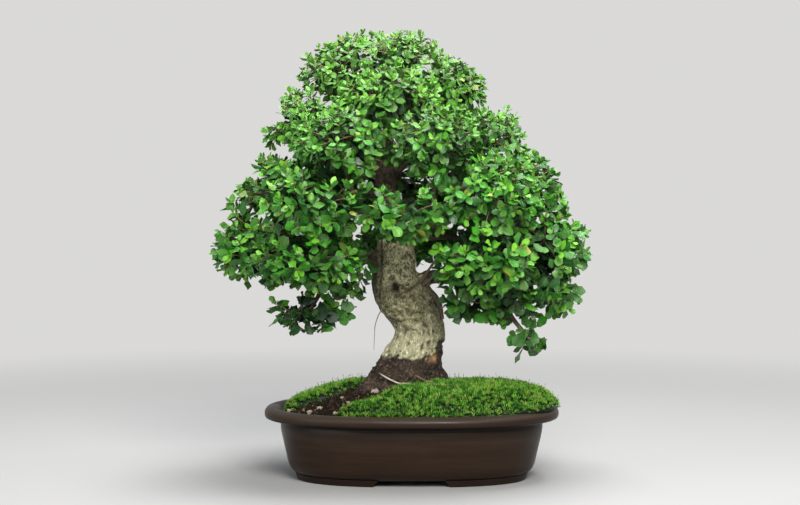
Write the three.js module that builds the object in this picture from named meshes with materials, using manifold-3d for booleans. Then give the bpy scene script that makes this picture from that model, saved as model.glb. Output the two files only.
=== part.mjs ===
// A cork oak bonsai in an oval stoneware pot. Millimetres, +Z up.
// The origin is on the surface the pot stands on, at the middle of the tree's spread,
// with X along the pot's length and -Y towards the tree's front.
import * as THREE from "three";
import { mergeVertices } from "three/addons/utils/BufferGeometryUtils.js";
import Module from "manifold-3d";

const wasm = await Module();
wasm.setup();

// Driving dimensions.
const gap = 0.5; // clearance between neighbouring solids

const pot = {
  centreX: 15,
  length: 440,
  depth: 300,
  height: 108,
  wall: 8,
  lip: 23, // how far the lip stands out from the body
  footHeight: 9,
  footWidth: 23,
  footGap: 107, // the arch in the middle of the front and the back
  corner: 2.4, // exponent of the oval: 2 is an ellipse, more is squarer
  holeRadius: 15,
  holeOffset: 85,
};
const soil = {
  edge: 98, // the surface's height at the pot's wall
  peak: 138, // and beside the trunk
  spreadLeft: 184,
  spreadRight: 220,
  spreadY: 118,
  roundness: 0.9, // exponent of the mound: smaller is fuller
  ripple: 1.6,
};
const screen = { side: 42, thickness: 1.6, cells: 4, pitch: 9.5, cell: 7 };
const clip = { wire: 1.6, legOffset: screen.pitch / 2, tailLength: 16 };
const potFloor = pot.footHeight + pot.wall;
const clipTop = potFloor + screen.thickness + 2 * gap + clip.wire;

// The trunk's centre line with its half widths across and front to back, from its buried foot to its tip.
const trunkLine = [
  { at: [11, 2, 72], half: [30, 28] },
  { at: [10, 0, 112], half: [60, 50] },
  { at: [11, 0, 136], half: [60, 50] },
  { at: [16, 0, 158], half: [51, 45] },
  { at: [17, -2, 173], half: [46, 42] },
  { at: [24, -3, 197], half: [41, 39] },
  { at: [28, -4, 222], half: [38, 37] },
  { at: [22, -3, 240], half: [39, 38] },
  { at: [7, 0, 267], half: [42, 40] },
  { at: [-5, 2, 284], half: [41, 38] },
  { at: [-12, 3, 308], half: [35, 34] },
  { at: [-9, 2, 338], half: [31, 31] },
  { at: [-10, 0, 371], half: [27, 27] },
  { at: [-16, -2, 401], half: [22, 22] },
  { at: [-25, 0, 450], half: [17, 17] },
  { at: [-22, 0, 506], half: [11, 11] },
  { at: [-14, 0, 560], half: [7, 7] },
  { at: [-20, 0, 600], half: [4, 4] },
];

// Surface roots: where each goes under the soil, and its thickness at the trunk.
const roots = [
  { to: [-92, -34, 104], thick: 21 },
  { to: [-48, -80, 108], thick: 16 },
  { to: [72, -66, 108], thick: 17 },
  { to: [108, 18, 104], thick: 19 },
  { to: [42, 80, 106], thick: 17 },
  { to: [-70, 56, 106], thick: 18 },
];

// A thin bare root that lies against the front of the trunk's foot and then along the top of the moss.
const bareRoot = {
  radius: 2,
  line: [
    [-29, -20, 160],
    [-19, -40, 153.5],
    [-5, -51, 147.5],
    [27, -56, 146.5],
    [62, -53, 146],
    [90, -47, 140.5],
    [108, -42, 128],
  ],
};

// Main limbs: the height at which each leaves the trunk, the elbow where it forks, and its thickness.
const limbs = {
  rightLow: { from: 286, elbow: [86, -20, 308], thick: 13 },
  leftLow: { from: 322, elbow: [-92, -18, 330], thick: 12 },
  backLow: { from: 340, elbow: [6, 82, 352], thick: 10 },
  frontRight: { from: 362, elbow: [48, -66, 384], thick: 9 },
  frontLeft: { from: 384, elbow: [-66, -64, 398], thick: 9 },
  rightMid: { from: 402, elbow: [66, 12, 434], thick: 9 },
  leftMid: { from: 418, elbow: [-92, 10, 442], thick: 8 },
  backMid: { from: 436, elbow: [-6, 70, 456], thick: 8 },
  top: { from: 500, elbow: [-20, -8, 532], thick: 7 },
};

// Thickness of a root's buried end, of elbows and boughs as shares of their limb's, and of a bough's tip.
const rootTip = 6;
const elbowShare = 0.62;
const boughShare = 0.55;
const boughTip = 2.2;

// Leaf masses: each is the space that one branch's leaves fill.
const leafMasses = [
  { name: "apex", limb: "top", at: [-4, 0, 616], half: [73, 72, 56] },
  { name: "crown_left", limb: "top", at: [-80, 8, 601], half: [73, 70, 62] },
  { name: "crown_right", limb: "top", at: [62, 10, 582], half: [68, 70, 52] },
  { name: "crown_front", limb: "top", at: [-20, -78, 565], half: [76, 65, 58] },
  { name: "crown_back", limb: "top", at: [-20, 86, 566], half: [80, 66, 58] },
  { name: "upper_left", limb: "leftMid", at: [-130, -14, 528], half: [76, 74, 62] },
  { name: "upper_front_left", limb: "frontLeft", at: [-84, -112, 500], half: [76, 66, 60] },
  { name: "upper_front_right", limb: "frontRight", at: [50, -116, 506], half: [78, 66, 58] },
  { name: "upper_right", limb: "rightMid", at: [112, -14, 502], half: [76, 76, 56] },
  { name: "upper_back_right", limb: "backMid", at: [64, 112, 502], half: [82, 70, 62] },
  { name: "upper_back_left", limb: "backMid", at: [-88, 110, 500], half: [82, 70, 62] },
  { name: "middle_left", limb: "leftMid", at: [-163, 0, 430], half: [87, 80, 62] },
  { name: "middle_front_left", limb: "frontLeft", at: [-122, -132, 414], half: [84, 70, 62] },
  { name: "middle_front", limb: "frontRight", at: [4, -160, 402], half: [62, 66, 46] },
  { name: "middle_front_right", limb: "frontRight", at: [122, -128, 430], half: [84, 72, 64] },
  { name: "middle_right", limb: "rightMid", at: [160, 0, 432], half: [84, 84, 66] },
  { name: "middle_back_right", limb: "backLow", at: [112, 134, 424], half: [88, 72, 64] },
  { name: "middle_back", limb: "backMid", at: [-8, 160, 420], half: [80, 68, 60] },
  { name: "middle_back_left", limb: "leftMid", at: [-126, 130, 420], half: [88, 72, 64] },
  { name: "low_left", limb: "leftLow", at: [-204, -10, 344], half: [84, 84, 58] },
  { name: "low_front_left", limb: "leftLow", at: [-132, -118, 334], half: [84, 72, 46] },
  { name: "low_back_left", limb: "leftLow", at: [-150, 116, 344], half: [84, 74, 50] },
  { name: "low_front_right", limb: "rightLow", at: [118, -124, 330], half: [80, 74, 56] },
  { name: "low_right", limb: "rightLow", at: [202, -4, 345], half: [84, 86, 64] },
  { name: "low_back_right", limb: "backLow", at: [150, 122, 344], half: [86, 76, 54] },
  { name: "low_back", limb: "backLow", at: [2, 152, 348], half: [80, 66, 48] },
  { name: "skirt_right", limb: "rightLow", at: [182, -40, 274], half: [78, 64, 44] },
  { name: "skirt_front_right", limb: "rightLow", at: [100, -62, 268], half: [50, 48, 32] },
  { name: "hanging_left", limb: "leftLow", at: [-136, -50, 252], half: [62, 46, 34] },
  { name: "hanging_right", limb: "rightLow", at: [187, -56, 215], half: [25, 28, 34] },
];

// Moss cushions: centre and half sizes seen from above, turn in degrees, and thickness in the middle.
// Lean is the share by which a cushion thickens towards its +X end. Each lies against those listed before it.
const mossCushions = [
  { name: "moss_right", at: [150, -4], half: [88, 100], turn: 4, thick: 19, lean: 0.55 },
  { name: "moss_front", at: [62, -72], half: [150, 50], turn: 12, thick: 15, lean: 0 },
  { name: "moss_left", at: [-112, 26], half: [70, 52], turn: 35, thick: 13, lean: 0 },
  { name: "moss_back", at: [30, 86], half: [150, 40], turn: -4, thick: 14, lean: 0 },
];
// How much of its thickness a cushion loses at its outline, how late, and how wavy the outline is.
const mossEdge = { drop: 0.6, power: 8, wave: 0.06 };

// Pumice stones lying on the bare soil: place seen from above and half sizes.
const stones = [
  { at: [-38, -46], half: [7.5, 4.5, 5] },
  { at: [-97, -86], half: [4, 3.5, 3.5] },
  { at: [-135, -62], half: [6, 4.5, 4.5] },
  { at: [-120, -58], half: [5, 3.5, 3.5] },
  { at: [-78, -66], half: [3.5, 3, 3] },
  { at: [-88, -38], half: [3, 3, 3] },
  { at: [-166, -26], half: [5, 4, 4] },
];

// A geometry as a solid. The flat triangles at a turned shape's poles are dropped.
function solidOf(geometry) {
  const plain = geometry.clone();
  plain.deleteAttribute("normal");
  plain.deleteAttribute("uv");
  const merged = mergeVertices(plain, 1e-4);
  const corners = [];
  for (let i = 0; i < merged.index.count; i += 3) {
    const [a, b, c] = [0, 1, 2].map((k) => merged.index.getX(i + k));
    if (a !== b && b !== c && c !== a) corners.push(a, b, c);
  }
  return new wasm.Manifold(
    new wasm.Mesh({
      numProp: 3,
      vertProperties: new Float32Array(merged.attributes.position.array),
      triVerts: new Uint32Array(corners),
    }),
  );
}

// A solid as a geometry for a mesh.
function geometryOf(solid) {
  const mesh = solid.getMesh();
  const places = new Float32Array(mesh.numVert * 3);
  for (let i = 0; i < mesh.numVert; i++) {
    places.set(mesh.vertProperties.subarray(i * mesh.numProp, i * mesh.numProp + 3), i * 3);
  }
  const geometry = new THREE.BufferGeometry();
  geometry.setAttribute("position", new THREE.BufferAttribute(places, 3));
  geometry.setIndex(new THREE.BufferAttribute(new Uint32Array(mesh.triVerts), 1));
  return geometry;
}

// Moves every vertex of a geometry to the place that a function gives for it.
function moved(geometry, place) {
  const position = geometry.attributes.position;
  for (let i = 0; i < position.count; i++) {
    const [x, y, z] = place(position.getX(i), position.getY(i), position.getZ(i));
    position.setXYZ(i, x, y, z);
  }
  return geometry;
}

const box = (x, y, z, at) => new THREE.BoxGeometry(x, y, z).translate(...at);

// The pot's oval: a turned profile is drawn out along X, and its round sections are squared a little.
// A point of the profile that is on the axis becomes a line along the middle.
const stretch = (pot.length - pot.depth) / 2;
const squared = (v) => Math.sign(v) * Math.abs(v) ** (2 / pot.corner);

function ovalTurned(profile, segments = 36) {
  const lathe = new THREE.LatheGeometry(profile.map((point) => new THREE.Vector2(...point)), segments);
  const { position, uv } = lathe.attributes;
  for (let i = 0; i < position.count; i++) {
    const [radius, z] = profile[Math.round(uv.getY(i) * (profile.length - 1))];
    const angle = (uv.getX(i) - 0.25) * 2 * Math.PI;
    const x = pot.centreX + (radius + stretch) * squared(Math.cos(angle));
    position.setXYZ(i, x, radius * squared(Math.sin(angle)), z);
  }
  return lathe;
}

// The pot's profile as half depth and height: under the floor, up the outside, over the lip and down inside.
function potProfile() {
  const lipEdge = pot.depth / 2;
  const body = lipEdge - pot.lip;
  const inner = body - pot.wall;
  return [
    [0, pot.footHeight],
    [body - 29, pot.footHeight],
    [body - 19, 12],
    [body - 12, 19],
    [body - 6.5, 41],
    [body - 1, 70],
    [body, 86],
    [body + 5, 90.5],
    [lipEdge - 8, 92.5],
    [lipEdge - 2, 96],
    [lipEdge, 100],
    [lipEdge - 2, 104.5],
    [lipEdge - 9, 107.4],
    [body + 7, pot.height],
    [inner + 12.5, 107],
    [inner + 1, 93],
    [inner, 70],
    [inner - 5.5, 41],
    [inner - 12, 22],
    [inner - 19, potFloor],
    [0, potFloor],
  ];
}

function footRing() {
  const outer = pot.depth / 2 - pot.lip - 24;
  const inner = outer - pot.footWidth;
  const top = pot.footHeight + 1;
  const half = pot.footGap / 2;
  const ring = ovalTurned([
    [inner, 0],
    [outer - 1, 0],
    [outer + 1.5, top],
    [inner, top],
    [inner, 0],
  ]);
  const arch = new THREE.Shape();
  arch.moveTo(-half - 4, -1);
  arch.lineTo(half + 4, -1);
  arch.lineTo(half - 5, pot.footHeight);
  arch.lineTo(-half + 5, pot.footHeight);
  arch.closePath();
  const through = new THREE.ExtrudeGeometry(arch, { depth: pot.depth, bevelEnabled: false });
  through.rotateX(Math.PI / 2).translate(pot.centreX, pot.depth / 2, 0);
  return solidOf(ring).subtract(solidOf(through));
}

const holeCentres = [-1, 1].map((side) => pot.centreX + side * pot.holeOffset);

function makePot() {
  let body = solidOf(ovalTurned(potProfile())).add(footRing());
  const depth = 3 * pot.wall;
  for (const x of holeCentres) {
    const hole = new THREE.CylinderGeometry(pot.holeRadius, pot.holeRadius, depth, 16);
    hole.rotateX(Math.PI / 2).translate(x, 0, pot.footHeight + pot.wall / 2);
    body = body.subtract(solidOf(hole));
  }
  return body;
}

// The height of the soil's surface, a mound that is highest at the trunk.
function soilTop(x, y) {
  const along = x - trunkLine[1].at[0];
  const away = (along / (along < 0 ? soil.spreadLeft : soil.spreadRight)) ** 2 + (y / soil.spreadY) ** 2;
  const rise = Math.max(0, 1 - away) ** soil.roundness;
  const ripple = soil.ripple * Math.sin(x * 0.061 + 1) * Math.cos(y * 0.083);
  return soil.edge + (soil.peak - soil.edge) * rise + ripple * Math.min(1, rise * 3);
}

// The soil fills the pot above its floor and the screens. Grow widens it and raises its surface.
function makeSoil(grow = 0) {
  const inner = pot.depth / 2 - pot.lip - pot.wall - gap + grow;
  const floor = potFloor + screen.thickness + 3 * gap;
  const rings = [inner + 3.5, 100, 76, 50, 24, 0];
  const profile = [
    [0, floor],
    [inner - 20, floor],
    [inner - 12.5, 25],
    [inner - 6, 41.5],
    [inner, 70],
    [inner + 0.5, 93],
    ...rings.map((radius) => [radius, soil.edge]),
  ];
  const mound = moved(ovalTurned(profile, 36), (x, y, z) => [
    x,
    y,
    z >= soil.edge - 0.01 ? soilTop(x, y) + grow : z,
  ]);
  return solidOf(mound);
}

// A tube along a curve: a cylinder whose rings are carried along it. half(t) gives the two half widths.
function tubeAlong(curve, half, sides, steps, up = new THREE.Vector3(0, 1, 0)) {
  const rings = [];
  for (let i = 0; i <= steps; i++) {
    const along = curve.getTangent(i / steps);
    const across = new THREE.Vector3().crossVectors(up, along).normalize();
    const over = new THREE.Vector3().crossVectors(along, across);
    rings.push({ centre: curve.getPoint(i / steps), across, over, half: half(i / steps) });
  }
  return moved(new THREE.CylinderGeometry(1, 1, steps, sides, steps), (x, y, z) => {
    const ring = rings[Math.round(y + steps / 2)];
    const place = ring.centre.clone();
    place.addScaledVector(ring.across, x * ring.half[0]);
    place.addScaledVector(ring.over, -z * ring.half[1]);
    return place.toArray();
  });
}

const trunkCurve = new THREE.CatmullRomCurve3(trunkLine.map((p) => new THREE.Vector3(...p.at)));

function trunkHalf(t, grow) {
  const place = t * (trunkLine.length - 1);
  const i = Math.min(Math.floor(place), trunkLine.length - 2);
  const share = place - i;
  return [0, 1].map((k) => {
    const [low, high] = [trunkLine[i].half[k], trunkLine[i + 1].half[k]];
    return low + (high - low) * share + grow;
  });
}

// The trunk's centre at a height, between its listed points.
function trunkAt(height) {
  const above = trunkLine.findIndex((p) => p.at[2] >= height);
  const [low, high] = [trunkLine[above - 1].at, trunkLine[above].at];
  const share = (height - low[2]) / (high[2] - low[2]);
  return new THREE.Vector3(...low).lerp(new THREE.Vector3(...high), share);
}

// A branch from one point to another. Its middle is raised by a share of its length.
function branch(from, to, thick, thin, rise, sides, steps, grow) {
  const middle = from.clone().lerp(to, 0.45);
  middle.z += rise * from.distanceTo(to);
  const curve = new THREE.QuadraticBezierCurve3(from, middle, to);
  const half = (t) => {
    const radius = thick + (thin - thick) * t + grow;
    return [radius, radius];
  };
  return solidOf(tubeAlong(curve, half, sides, steps, new THREE.Vector3(0.31, 0.17, 0.94)));
}

// Trunk, surface roots, limbs and branches, all grown as one piece.
function makeWood(grow = 0) {
  const steps = trunkLine.length - 1;
  const trunk = tubeAlong(trunkCurve, (t) => trunkHalf(t, grow), 14, steps);
  const joined = [solidOf(trunk)];
  for (const root of roots) {
    const to = new THREE.Vector3(...root.to);
    const from = trunkAt(soil.peak).lerp(to, 0.18).setZ(soil.peak + 4);
    joined.push(branch(from, to, root.thick, rootTip, 0.06, 6, 3, grow));
  }
  const bareLine = new THREE.CatmullRomCurve3(bareRoot.line.map((at) => new THREE.Vector3(...at)));
  const bareHalf = [bareRoot.radius + grow, bareRoot.radius + grow];
  joined.push(solidOf(tubeAlong(bareLine, () => bareHalf, 6, 12)));
  for (const limb of Object.values(limbs)) {
    const elbow = new THREE.Vector3(...limb.elbow);
    joined.push(branch(trunkAt(limb.from), elbow, limb.thick, limb.thick * elbowShare, 0.07, 6, 3, grow));
  }
  for (const mass of leafMasses) {
    const limb = limbs[mass.limb];
    const from = new THREE.Vector3(...limb.elbow);
    const to = new THREE.Vector3(...mass.at);
    joined.push(branch(from, to, limb.thick * boughShare, boughTip, 0.08, 5, 2, grow));
  }
  return joined.reduce((whole, next) => whole.add(next));
}

// How far an ellipsoid reaches from its centre in a direction.
function reach(half, way) {
  return 1 / Math.hypot(way.x / half[0], way.y / half[1], way.z / half[2]);
}

// Everything on the far side of a plane, as a large box to cut with.
function beyond(point, way) {
  const size = 500;
  const block = new THREE.BoxGeometry(size, size, size).translate(0, 0, size / 2);
  block.applyQuaternion(new THREE.Quaternion().setFromUnitVectors(new THREE.Vector3(0, 0, 1), way));
  return solidOf(block.translate(point.x, point.y, point.z));
}

// The largest of the bodies that a cut leaves. The others are slivers beside a branch.
function largest(solid) {
  return solid.decompose().sort((a, b) => b.volume() - a.volume())[0];
}

// A leaf mass: an ellipsoid, cut flat where it meets its neighbours and opened for the wood in it.
function makeLeafMass(mass, wood) {
  const centre = new THREE.Vector3(...mass.at);
  const rounding = 1.04; // makes up for the flat faces of the ball
  const ball = new THREE.IcosahedronGeometry(rounding, 1).scale(...mass.half);
  let body = solidOf(ball.translate(...mass.at));
  for (const other of leafMasses.filter((each) => each !== mass)) {
    const way = new THREE.Vector3(...other.at).sub(centre);
    const distance = way.length();
    way.normalize();
    const [mine, theirs] = [reach(mass.half, way), reach(other.half, way)];
    const share = (distance * mine) / (mine + theirs);
    body = body.subtract(beyond(centre.clone().addScaledVector(way, share - gap / 2), way));
  }
  return largest(body.subtract(wood));
}

// The room for moss: over the soil's edge inside the pot's rim, and above the rim out to its brim.
function mossRoom() {
  const inner = pot.depth / 2 - pot.lip - pot.wall - gap;
  const brim = pot.depth / 2 + 2;
  const ceiling = soil.peak + 60;
  return solidOf(
    ovalTurned([
      [0, soil.edge + gap],
      [inner + 4.5, soil.edge + gap],
      [inner + 11.5, pot.height + gap],
      [brim, pot.height + gap],
      [brim, ceiling],
      [0, ceiling],
    ]),
  );
}

// A moss cushion: a low wavy dome over the soil. Grow widens and raises it.
function makeMoss(cushion, grow = 0) {
  const turn = THREE.MathUtils.degToRad(cushion.turn);
  const rings = [1, 0.92, 0.75, 0.45, 0];
  const profile = [[0, 0], [1, 0], ...rings.map((q) => [q, 1])];
  const points = profile.map(([q, level]) => new THREE.Vector2(q, level));
  return moved(new THREE.LatheGeometry(points, 20), (x, level, z) => {
    const wave = 1 + mossEdge.wave * Math.sin(3 * Math.atan2(z, x) + cushion.turn);
    const along = x * (cushion.half[0] + grow) * wave;
    const across = -z * (cushion.half[1] + grow) * wave;
    const px = cushion.at[0] + along * Math.cos(turn) - across * Math.sin(turn);
    const py = cushion.at[1] + along * Math.sin(turn) + across * Math.cos(turn);
    const full = cushion.thick * (1 + cushion.lean * x);
    const top = soilTop(px, py) + full * (1 - mossEdge.drop * Math.hypot(x, z) ** mossEdge.power);
    return [px, py, level > 0.5 ? top + grow : soil.edge - grow];
  });
}

// A pumice stone, partly sunk in the soil's surface.
function makeStone(stone, index, grow = 0) {
  const unevenness = 0.12;
  const lump = moved(new THREE.IcosahedronGeometry(1, 1), (x, y, z) => {
    const bump = 1 + unevenness * Math.sin(5 * x + 3 * y + 2 * z + index);
    return [x, y, z].map((v, k) => v * (stone.half[k] * bump + grow));
  });
  const [x, y] = stone.at;
  const above = stone.half[2] * 0.45;
  return lump.rotateZ(index).translate(x, y, soilTop(x, y) + above);
}

// A square of drainage mesh over a hole in the pot's floor.
function makeScreen(x) {
  const z = potFloor + gap + screen.thickness / 2;
  const middle = (screen.cells - 1) / 2;
  let plate = solidOf(box(screen.side, screen.side, screen.thickness, [x, 0, z]));
  for (let i = 0; i < screen.cells ** 2; i++) {
    const cx = x + ((i % screen.cells) - middle) * screen.pitch;
    const cy = (Math.floor(i / screen.cells) - middle) * screen.pitch;
    plate = plate.subtract(solidOf(box(screen.cell, screen.cell, 3 * screen.thickness, [cx, cy, z])));
  }
  return geometryOf(plate);
}

// A wire staple that passes through the screen and is bent outwards under the pot's floor.
function makeClip(x) {
  const radius = clip.wire / 2;
  const top = clipTop - radius;
  const bottom = pot.footHeight - gap - radius;
  const [leg, tail] = [clip.legOffset, clip.legOffset + clip.tailLength];
  const bend = 1.5;
  const halfPath = [
    [0, top],
    [leg - bend, top],
    [leg, top - bend],
    [leg, bottom + bend],
    [leg + bend, bottom],
    [tail, bottom],
  ];
  const mirrored = halfPath.slice(1).reverse().map(([along, z]) => [-along, z]);
  const y = screen.pitch / 2;
  const route = [...mirrored, ...halfPath].map(([along, z]) => new THREE.Vector3(x + along, y, z));
  return tubeThrough(route, radius);
}

// A round wire through a list of points, with its joints mitred.
function tubeThrough(route, radius) {
  const last = route.length - 1;
  const side = new THREE.Vector3(0, 1, 0);
  return moved(new THREE.CylinderGeometry(1, 1, last, 8, last), (x, y, z) => {
    const i = Math.round(y + last / 2);
    const before = route[i].clone().sub(route[Math.max(i - 1, 0)]).normalize();
    const after = route[Math.min(i + 1, last)].clone().sub(route[i]).normalize();
    const along = before.add(after).normalize();
    const across = new THREE.Vector3().crossVectors(side, along);
    const place = route[i].clone().addScaledVector(across, x * radius);
    return place.addScaledVector(side, -z * radius).toArray();
  });
}

// The finishes.
const finish = (color, roughness, metalness = 0) => ({ color, roughness, metalness });
const finishes = {
  stoneware: finish(0x372a22, 0.45),
  earth: finish(0x2b2019, 0.95),
  pumice: finish(0xc9b48f, 0.9),
  moss: finish(0x3f9a25, 0.9),
  bark: finish(0x7d7258, 0.95),
  leaf: finish(0x2f8a2b, 0.4),
  mesh: finish(0x1c1c1c, 0.6),
  wire: finish(0xa9acb0, 0.35, 1),
};

const tree = new THREE.Group();

function addPiece(name, geometry, look) {
  const shown = geometry.index ? geometry.toNonIndexed() : geometry;
  shown.computeVertexNormals();
  const piece = new THREE.Mesh(shown, new THREE.MeshStandardMaterial(finishes[look]));
  piece.name = name;
  tree.add(piece);
}

const sides = ["left", "right"];
const potSolid = makePot();
const wood = makeWood();
const woodRoom = makeWood(gap);
const soilRoom = makeSoil(gap);
const stoneRooms = stones.map((stone, i) => solidOf(makeStone(stone, i, gap)));

addPiece("pot", geometryOf(potSolid), "stoneware");
holeCentres.forEach((x, i) => {
  addPiece(`drain_screen_${sides[i]}`, makeScreen(x), "mesh");
  addPiece(`screen_clip_${sides[i]}`, makeClip(x), "wire");
});
let soilSolid = makeSoil().subtract(woodRoom);
const below = 3;
for (const x of holeCentres) {
  const place = [x, screen.pitch / 2, clipTop + gap - below];
  const room = box(2 * (clip.legOffset + clip.wire), 3 * clip.wire, 2 * below, place);
  soilSolid = soilSolid.subtract(solidOf(room));
}
addPiece("soil", geometryOf(largest(soilSolid)), "earth");

const laid = [];
for (const cushion of mossCushions) {
  const blocks = [...laid, ...stoneRooms, soilRoom, woodRoom];
  const room = solidOf(makeMoss(cushion)).intersect(mossRoom());
  const body = largest(blocks.reduce((left, block) => left.subtract(block), room));
  addPiece(cushion.name, geometryOf(body), "moss");
  laid.push(solidOf(makeMoss(cushion, gap)));
}
stones.forEach((stone, i) => {
  const lying = solidOf(makeStone(stone, i)).subtract(soilRoom).subtract(woodRoom);
  addPiece(`pumice_${i + 1}`, geometryOf(largest(lying)), "pumice");
});
addPiece("trunk_and_branches", geometryOf(wood), "bark");
for (const mass of leafMasses) {
  addPiece(`leaves_${mass.name}`, geometryOf(makeLeafMass(mass, woodRoom)), "leaf");
}

export default tree;
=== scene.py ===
import math

import bmesh
import bpy
import numpy as np
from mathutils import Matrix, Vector
from mathutils.bvhtree import BVHTree
from mathutils.kdtree import KDTree


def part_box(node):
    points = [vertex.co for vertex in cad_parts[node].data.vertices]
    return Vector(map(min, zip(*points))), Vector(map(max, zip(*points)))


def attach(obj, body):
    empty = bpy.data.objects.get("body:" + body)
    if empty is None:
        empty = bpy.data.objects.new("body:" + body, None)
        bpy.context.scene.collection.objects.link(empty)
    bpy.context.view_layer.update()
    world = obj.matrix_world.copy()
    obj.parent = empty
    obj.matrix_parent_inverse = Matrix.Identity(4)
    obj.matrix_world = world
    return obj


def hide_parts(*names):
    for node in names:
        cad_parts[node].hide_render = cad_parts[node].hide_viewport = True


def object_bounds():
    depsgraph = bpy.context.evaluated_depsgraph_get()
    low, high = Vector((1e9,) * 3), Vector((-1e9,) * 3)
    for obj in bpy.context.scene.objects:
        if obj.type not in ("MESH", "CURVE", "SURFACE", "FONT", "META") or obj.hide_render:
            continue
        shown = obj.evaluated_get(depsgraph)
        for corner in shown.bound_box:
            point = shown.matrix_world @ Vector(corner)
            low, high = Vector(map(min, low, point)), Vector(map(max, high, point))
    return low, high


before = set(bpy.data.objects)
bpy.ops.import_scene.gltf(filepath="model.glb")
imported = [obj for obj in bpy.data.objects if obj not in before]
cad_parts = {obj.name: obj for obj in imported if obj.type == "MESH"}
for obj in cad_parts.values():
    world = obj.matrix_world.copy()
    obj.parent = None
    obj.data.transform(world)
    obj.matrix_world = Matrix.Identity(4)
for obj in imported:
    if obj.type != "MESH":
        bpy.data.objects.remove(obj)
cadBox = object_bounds()
mm = 0.001
golden = math.pi * (3 - math.sqrt(5))  # the turn from one leaf to the next on a shoot
dice = np.random.default_rng(11)
print("frame:", len(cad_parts), "nodes")


# Camera, floor and lights

view = {
    "lens": 101.9,
    "place": (0.015, -3.379, 0.543),
    "down": 3.475,  # degrees below level
    "left": 0.296,  # degrees to the left of straight ahead
    "clipEnd": 60,
}
studio = {
    "floorSize": 120.0,
    "fade": (0.3, 2.0),  # between these distances the floor fades into the air
    "horizon": (0.70, 0.695, 0.68),
    "overhead": (0.40, 0.415, 0.44),
    "climb": (0.055, 0.25),  # between these rises of the direction the air takes the overhead colour
    "aim": (0.0, 0.0, 0.40),
    # place, size, watts and colour
    "key": ((0.5, -2.9, 2.0), 1.5, 188, (1.0, 0.985, 0.955)),
    "fill": ((-2.2, -2.0, 1.0), 2.0, 34, (0.95, 0.98, 1.0)),
    "top": ((0.3, 0.1, 2.5), 1.4, 105, (0.98, 0.99, 1.0)),
}


def linked(name, data):
    # a new object in the scene
    made = bpy.data.objects.new(name, data)
    bpy.context.scene.collection.objects.link(made)
    return made


def setCamera():
    camera = linked("camera", bpy.data.cameras.new("camera"))
    camera.data.lens = view["lens"]
    camera.data.clip_end = view["clipEnd"]
    camera.location = view["place"]
    camera.rotation_euler = (math.radians(90 - view["down"]), 0, math.radians(view["left"]))
    bpy.context.scene.camera = camera


def setLamps():
    for name in ("key", "fill", "top"):
        place, size, watts, colour = studio[name]
        lamp = linked(name, bpy.data.lights.new(name, "AREA"))
        lamp.data.size = size
        lamp.data.energy = watts
        lamp.data.color = colour
        lamp.location = place
        aim = Vector(studio["aim"]) - Vector(place)
        lamp.rotation_euler = aim.to_track_quat("-Z", "Y").to_euler()
    bpy.context.scene.view_settings.view_transform = "Standard"


def setAir():
    # the world goes from the horizon's colour to the overhead one as the direction rises
    world = bpy.data.worlds.new("air")
    world.use_nodes = True
    wire = Wire(world.node_tree)
    direction = wire.add("ShaderNodeTexCoord", out="Generated")
    rise = wire.add("ShaderNodeSeparateXYZ", {}, {0: direction}, out="Z")
    colour = rise.step(*studio["climb"]).mix(studio["horizon"], studio["overhead"])
    world.node_tree.links.new(colour.socket, world.node_tree.nodes["Background"].inputs["Color"])
    bpy.context.scene.world = world


# Shader maths as Python expressions

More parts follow.
